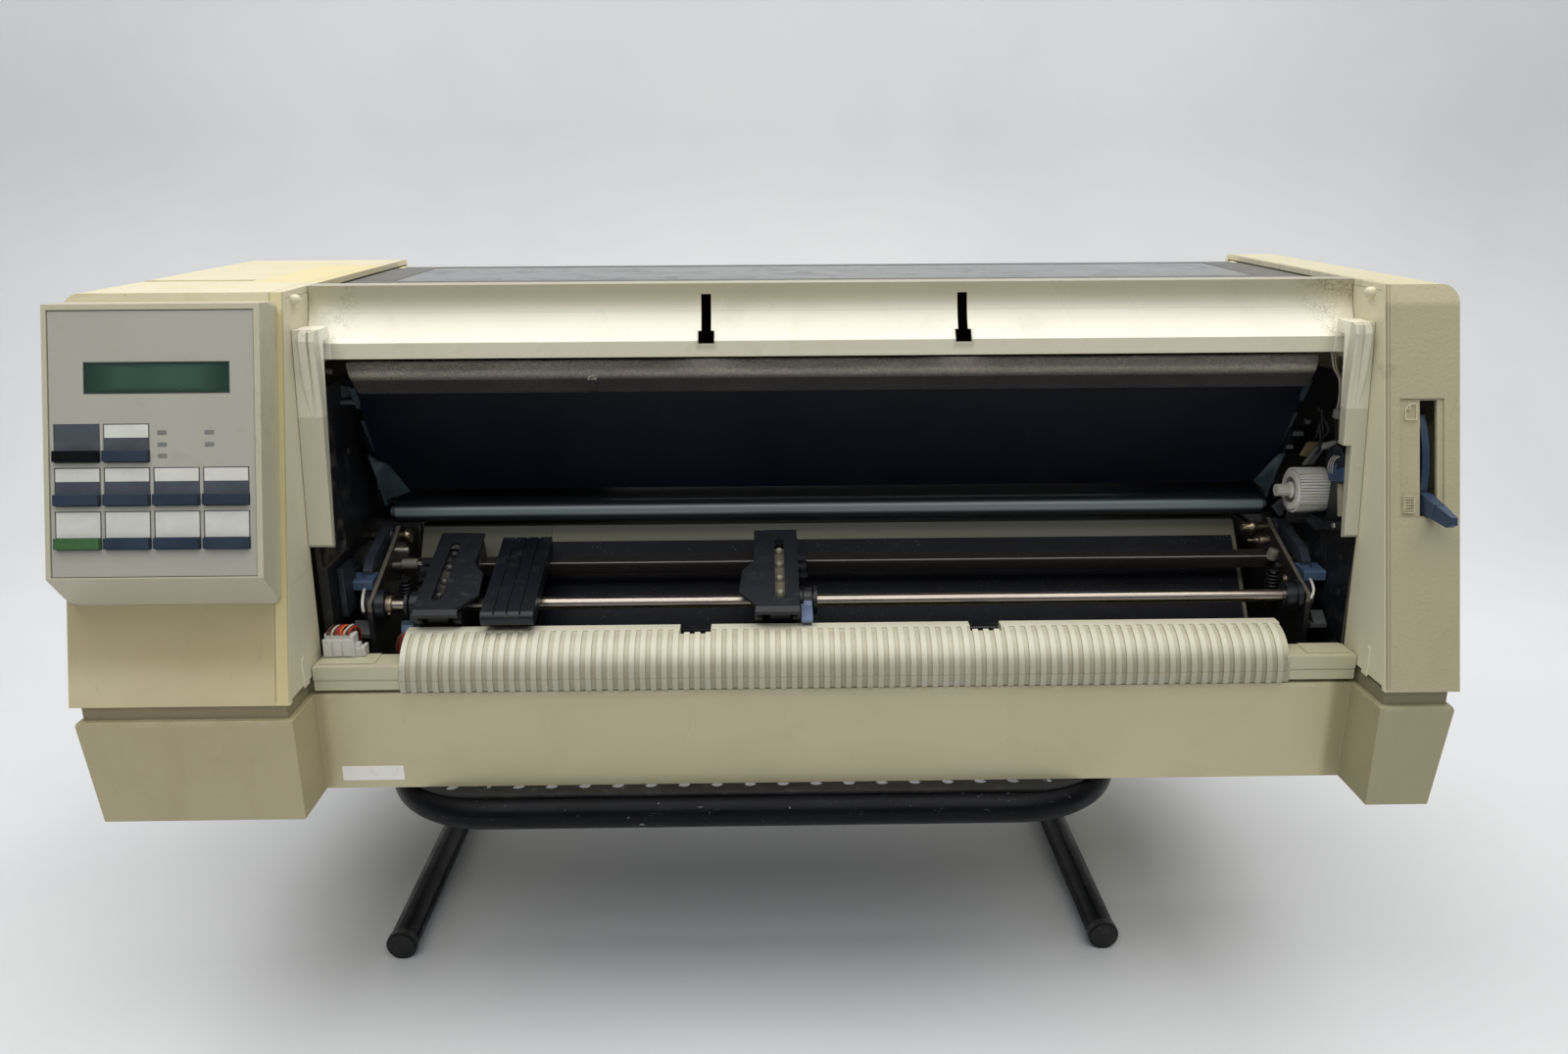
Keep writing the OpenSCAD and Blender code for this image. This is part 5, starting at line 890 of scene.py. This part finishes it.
bm = bmesh.new(); yzprism(bm, [(79.8, 156.4), (72.0, 158.6), (63.5, 162.3), (60.8, 155.0), (76.4, 151.4)], 300.4, 304.0); yzprism(bm, [(77.4, 160.6), (72.4, 161.8), (71.6, 157.8), (76.6, 156.6)], 300.9, 303.4)
piece("right_blue_plug", bm, "blue_plastic", bev=0.5)
for k in range(3):
    tube("plug_pin_%d" % k, [pr(300.7, 78.0 - 2.3 * k, 155.2 + 0.5 * k), pr(300.3, 78.6 - 2.3 * k, 159.6 + 0.5 * k), pr(301.1, 77.4 - 2.3 * k, 164.0 + 0.4 * k), pr(303.4, 75.6 - 2.3 * k, 166.4)], 0.42, "zinc")
bm = bmesh.new(); yzprism(bm, [(92.8, 168.6), (82.3, 172.3), (78.0, 173.4), (80.5, 169.8), (89.9, 166.6)], 303.4, 305.5); yzprism(bm, [(94.4, 167.6), (91.4, 168.8), (91.0, 165.6), (93.6, 164.6)], 302.6, 306.0)
piece("right_cheek_grey", bm, "grey_plate", bev=0.25)
bm = bmesh.new(); xzprism(bm, [(309.5, 160.0), (313.6, 163.4), (316.6, 163.4), (316.6, 160.9), (315.2, 160.9), (309.6, 150.6), (303.4, 150.7)], 114.9, 116.4)
xzprism(bm, [(309.5, 160.0), (313.6, 163.4), (314.6, 163.4), (310.6, 160.0), (305.4, 150.7), (303.4, 150.7)], 113.7, 115.0)
piece("right_strap", bm, "grey_plate", bev=0.3)
bm = bmesh.new(); xzprism(bm, [(306.9, 162.8), (316.6, 162.8), (316.6, 161.6), (313.1, 161.4), (308.0, 154.2), (303.2, 154.8)], 119.4, 120.8)
piece("right_brown_plate", bm, "brown_plate", bev=0.25)
bm = bmesh.new(); xzprism(bm, [(296.6, 126.0), (305.2, 126.4), (305.2, 120.6), (301.6, 120.6)], 86.0, 93.0); yzprism(bm, [(86.0, 126.2), (61.2, 133.0), (59.9, 129.0), (73.1, 124.6), (86.0, 121.6)], 303.0, 305.5)
piece("right_cheek_shelf", bm, "mech_slate", bev=0.4)
screw("cheek_screw", pr(302.9, 69.0, 128.6), (-1, -0.1, 0), 1.6, "zinc", h=0.9)
for k, (dx, dy) in enumerate([(-1.1, 0.5), (0.0, -0.2), (1.0, 0.6)]):
    tube("cheek_wire_%d" % k, [pr(295.6 + dx, 82 + dy, 224.0), pr(296.4 + dx, 80 + dy, 219.0), pr(298.5 + dx, 80 + dy, 211.6), pr(301.6 + dx * 0.8, 80 + dy, 206.2), pr(302.9 + dx * 0.8, 80 + dy, 199.8), pr(303.0 + dx * 0.8, 80 + dy, 192.8), pr(302.6 + dx, 80 + dy, 187.4)], 0.62, ("zinc", "tan_metal", "zinc")[k])
bm = bmesh.new(); pbox(bm, 300.6, 304.8, 78.6, 82.4, 184.8, 189.4)
piece("cheek_wire_clip", bm, "grey_plate", bev=0.4)
rw = random.Random(5)
for k in range(5):
    x0, y0, z0 = 300.5 + rw.uniform(-2, 2), 96 + rw.uniform(-3, 3), 168 + rw.uniform(-6, 8)
    tube("dark_loom_%d" % k, [pr(x0 - 1.5, y0, z0 + 14), pr(x0 + rw.uniform(-2, 2), y0 - 2, z0 + 8), pr(x0 + rw.uniform(-2, 2), y0 + 1, z0 + 2), pr(x0 + 2.0, y0 + 5, z0 - 4)], 0.7, "rubber")
bm = bmesh.new(); pbox(bm, 293.6, 299.8, 110.0, 114.0, 168.4, 171.0); pbox(bm, 291.6, 295.4, 111.0, 114.0, 160.8, 163.0); pbox(bm, 298.4, 301.2, 106.0, 110.4, 176.0, 178.4)
piece("right_dark_blocks", bm, "smoke_grey", bev=0.5)

# ------------------------------------------------------------------ foam strip, replaced by a soft uneven one
bm = bmesh.new()
prof = [(86.2, 200.7), (88.6, 200.4), (92.0, 200.5), (92.4, 204), (92.7, 210), (93.0, 217.2), (91.6, 217.5), (90.2, 217.3), (88.6, 215.1), (87.0, 213.0), (85.6, 211.1), (84.7, 209.6), (84.6, 207.6), (85.2, 205.2), (85.7, 202.8), (85.9, 201.3)]
NX = 420; rings = []
for i in range(NX + 1):
    x = -221.9 + 515.7 * i / NX
    f_end = i / NX
    end = min(1.0, min(x + 221.9, 293.8 - x) / 2.2); k_end = math.sqrt(max(0.0, 1 - (1 - end) ** 2))
    ring = []
    for j, (y, z) in enumerate(prof):
        n1 = mn.noise(Vector((x * 0.03, j * 0.35, 1.7))); n2 = mn.noise(Vector((x * 0.16, j * 0.8, 9.1)))
        yy, zz = y, z
        front = 1.0 if j >= 7 or j == 0 else 0.0
        push = 0.34 + 0.55 * n1 + 0.28 * n2
        yy += front * max(0.0, min(1.2, push))
        if j in (6, 7, 8): zz -= 0.4 * abs(n1) + 0.25 * abs(n2)
        if j in (0, 14, 15): zz += 0.45 * abs(n2) + 0.3 * abs(n1)
        # a small torn nick at the lower front edge
        dxn = (x + 91.6) / 2.6
        if abs(dxn) < 1 and j in (0, 12, 13, 14, 15):
            yy += 1.5 * (1 - dxn * dxn); zz += (1.6 if j in (0, 15, 14) else 0.5) * (1 - dxn * dxn)
        cy, cz = 89.2, 208.8
        yy = cy + (yy - cy) * (0.35 + 0.65 * k_end); zz = cz + (zz - cz) * (0.86 + 0.14 * k_end)
        low_ = max(0.0, min(1.0, (217.0 - zz) / 17.0))
        near_l, near_r = max(0.0, 1 - (x + 221.9) / 40.0), max(0.0, 1 - (293.8 - x) / 40.0)
        ring.append(bm.verts.new(pr(x + low_ * (6.4 * near_l - 5.0 * near_r), yy, zz)))
    rings.append(ring)
for A, B in zip(rings, rings[1:]):
    for j in range(len(prof)):
        q = (j + 1) % len(prof); bm.faces.new([A[j], A[q], B[q], B[j]])
bm.faces.new(rings[0][::-1]); bm.faces.new(rings[-1])
foam = piece("foam_seal", bm, "foam")
sb = foam.modifiers.new("soft", "SUBSURF"); sb.levels = 1; sb.render_levels = 1
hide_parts("foam_strip")

# ------------------------------------------------------------------ stage, light, camera
def stage_mesh(name, verts, faces, mat, smooth=True):
    me = bpy.data.meshes.new(name); me.from_pydata(verts, [], faces)
    for p in me.polygons: p.use_smooth = smooth
    me.materials.append(mat); o = bpy.data.objects.new(name, me)
    bpy.context.scene.collection.objects.link(o); return o
s = Mat("studio_floor")
c = s.mix(s.rng(s.noise(2.2, 3, 0.5, 0.3), 0.3, 0.7), lin((222, 223, 224)), lin((214, 215, 217)))
FLOOR = s.done(c, 0.62, s.bump(s.noise(30, 3), 0.02, 0.001))
path = [(-3.0, 0.0), (0.55, 0.0)]
for k in range(1, 13):
    a = math.radians(90 * k / 12); path.append((0.55 + 0.5 * math.sin(a), 0.5 - 0.5 * math.cos(a)))
path += [(1.05, 3.2)]
vs, fs = [], []
for y, z in path: vs += [(-3.2, y, z), (3.2, y, z)]
for i in range(len(path) - 1): fs.append((2 * i, 2 * i + 1, 2 * i + 3, 2 * i + 2))
stage_mesh("sweep", vs, fs, FLOOR)

def area(name, loc, rot, sx, sy, power, col=(1, 1, 1)):
    L = bpy.data.lights.new(name, "AREA"); L.shape = "RECTANGLE"; L.size = sx; L.size_y = sy; L.energy = power; L.color = col
    o = bpy.data.objects.new(name, L); o.location = loc; o.rotation_euler = [math.radians(a) for a in rot]
    bpy.context.scene.collection.objects.link(o); return o
area("soft_top", (0.0, -0.14, 2.0), (0, 0, 0), 3.0, 2.2, 54, (1.0, 0.995, 0.98))
area("soft_front", (0.0, -1.35, 1.45), (47, 0, 0), 1.7, 0.5, 8.0, (0.98, 0.99, 1.0))
w = bpy.data.worlds.new("studio"); bpy.context.scene.world = w; w.use_nodes = True
w.node_tree.nodes["Background"].inputs[0].default_value = (0.80, 0.86, 0.93, 1); w.node_tree.nodes["Background"].inputs[1].default_value = 0.19
bpy.context.scene.view_settings.view_transform = "Standard"

cam = bpy.data.cameras.new("photo_camera"); cam.lens = 27.05; cam.sensor_width = 36.0; cam.clip_start = 0.02
co = bpy.data.objects.new("photo_camera", cam); bpy.context.scene.collection.objects.link(co)
yaw, pitch, roll = math.radians(0.83), math.radians(17.08), math.radians(0.32)
f_ = Vector((math.sin(yaw) * math.cos(pitch), math.cos(yaw) * math.cos(pitch), -math.sin(pitch)))
r_ = Vector((math.cos(yaw), -math.sin(yaw), 0.0)); d_ = f_.cross(r_)
r2 = math.cos(roll) * r_ + math.sin(roll) * d_; d2 = -math.sin(roll) * r_ + math.cos(roll) * d_
mat = Matrix((( r2.x, -d2.x, -f_.x), (r2.y, -d2.y, -f_.y), (r2.z, -d2.z, -f_.z))).to_4x4()
mat.translation = pr(-0.3, -529.6, 314.8)
co.matrix_world = mat
bpy.context.scene.camera = co
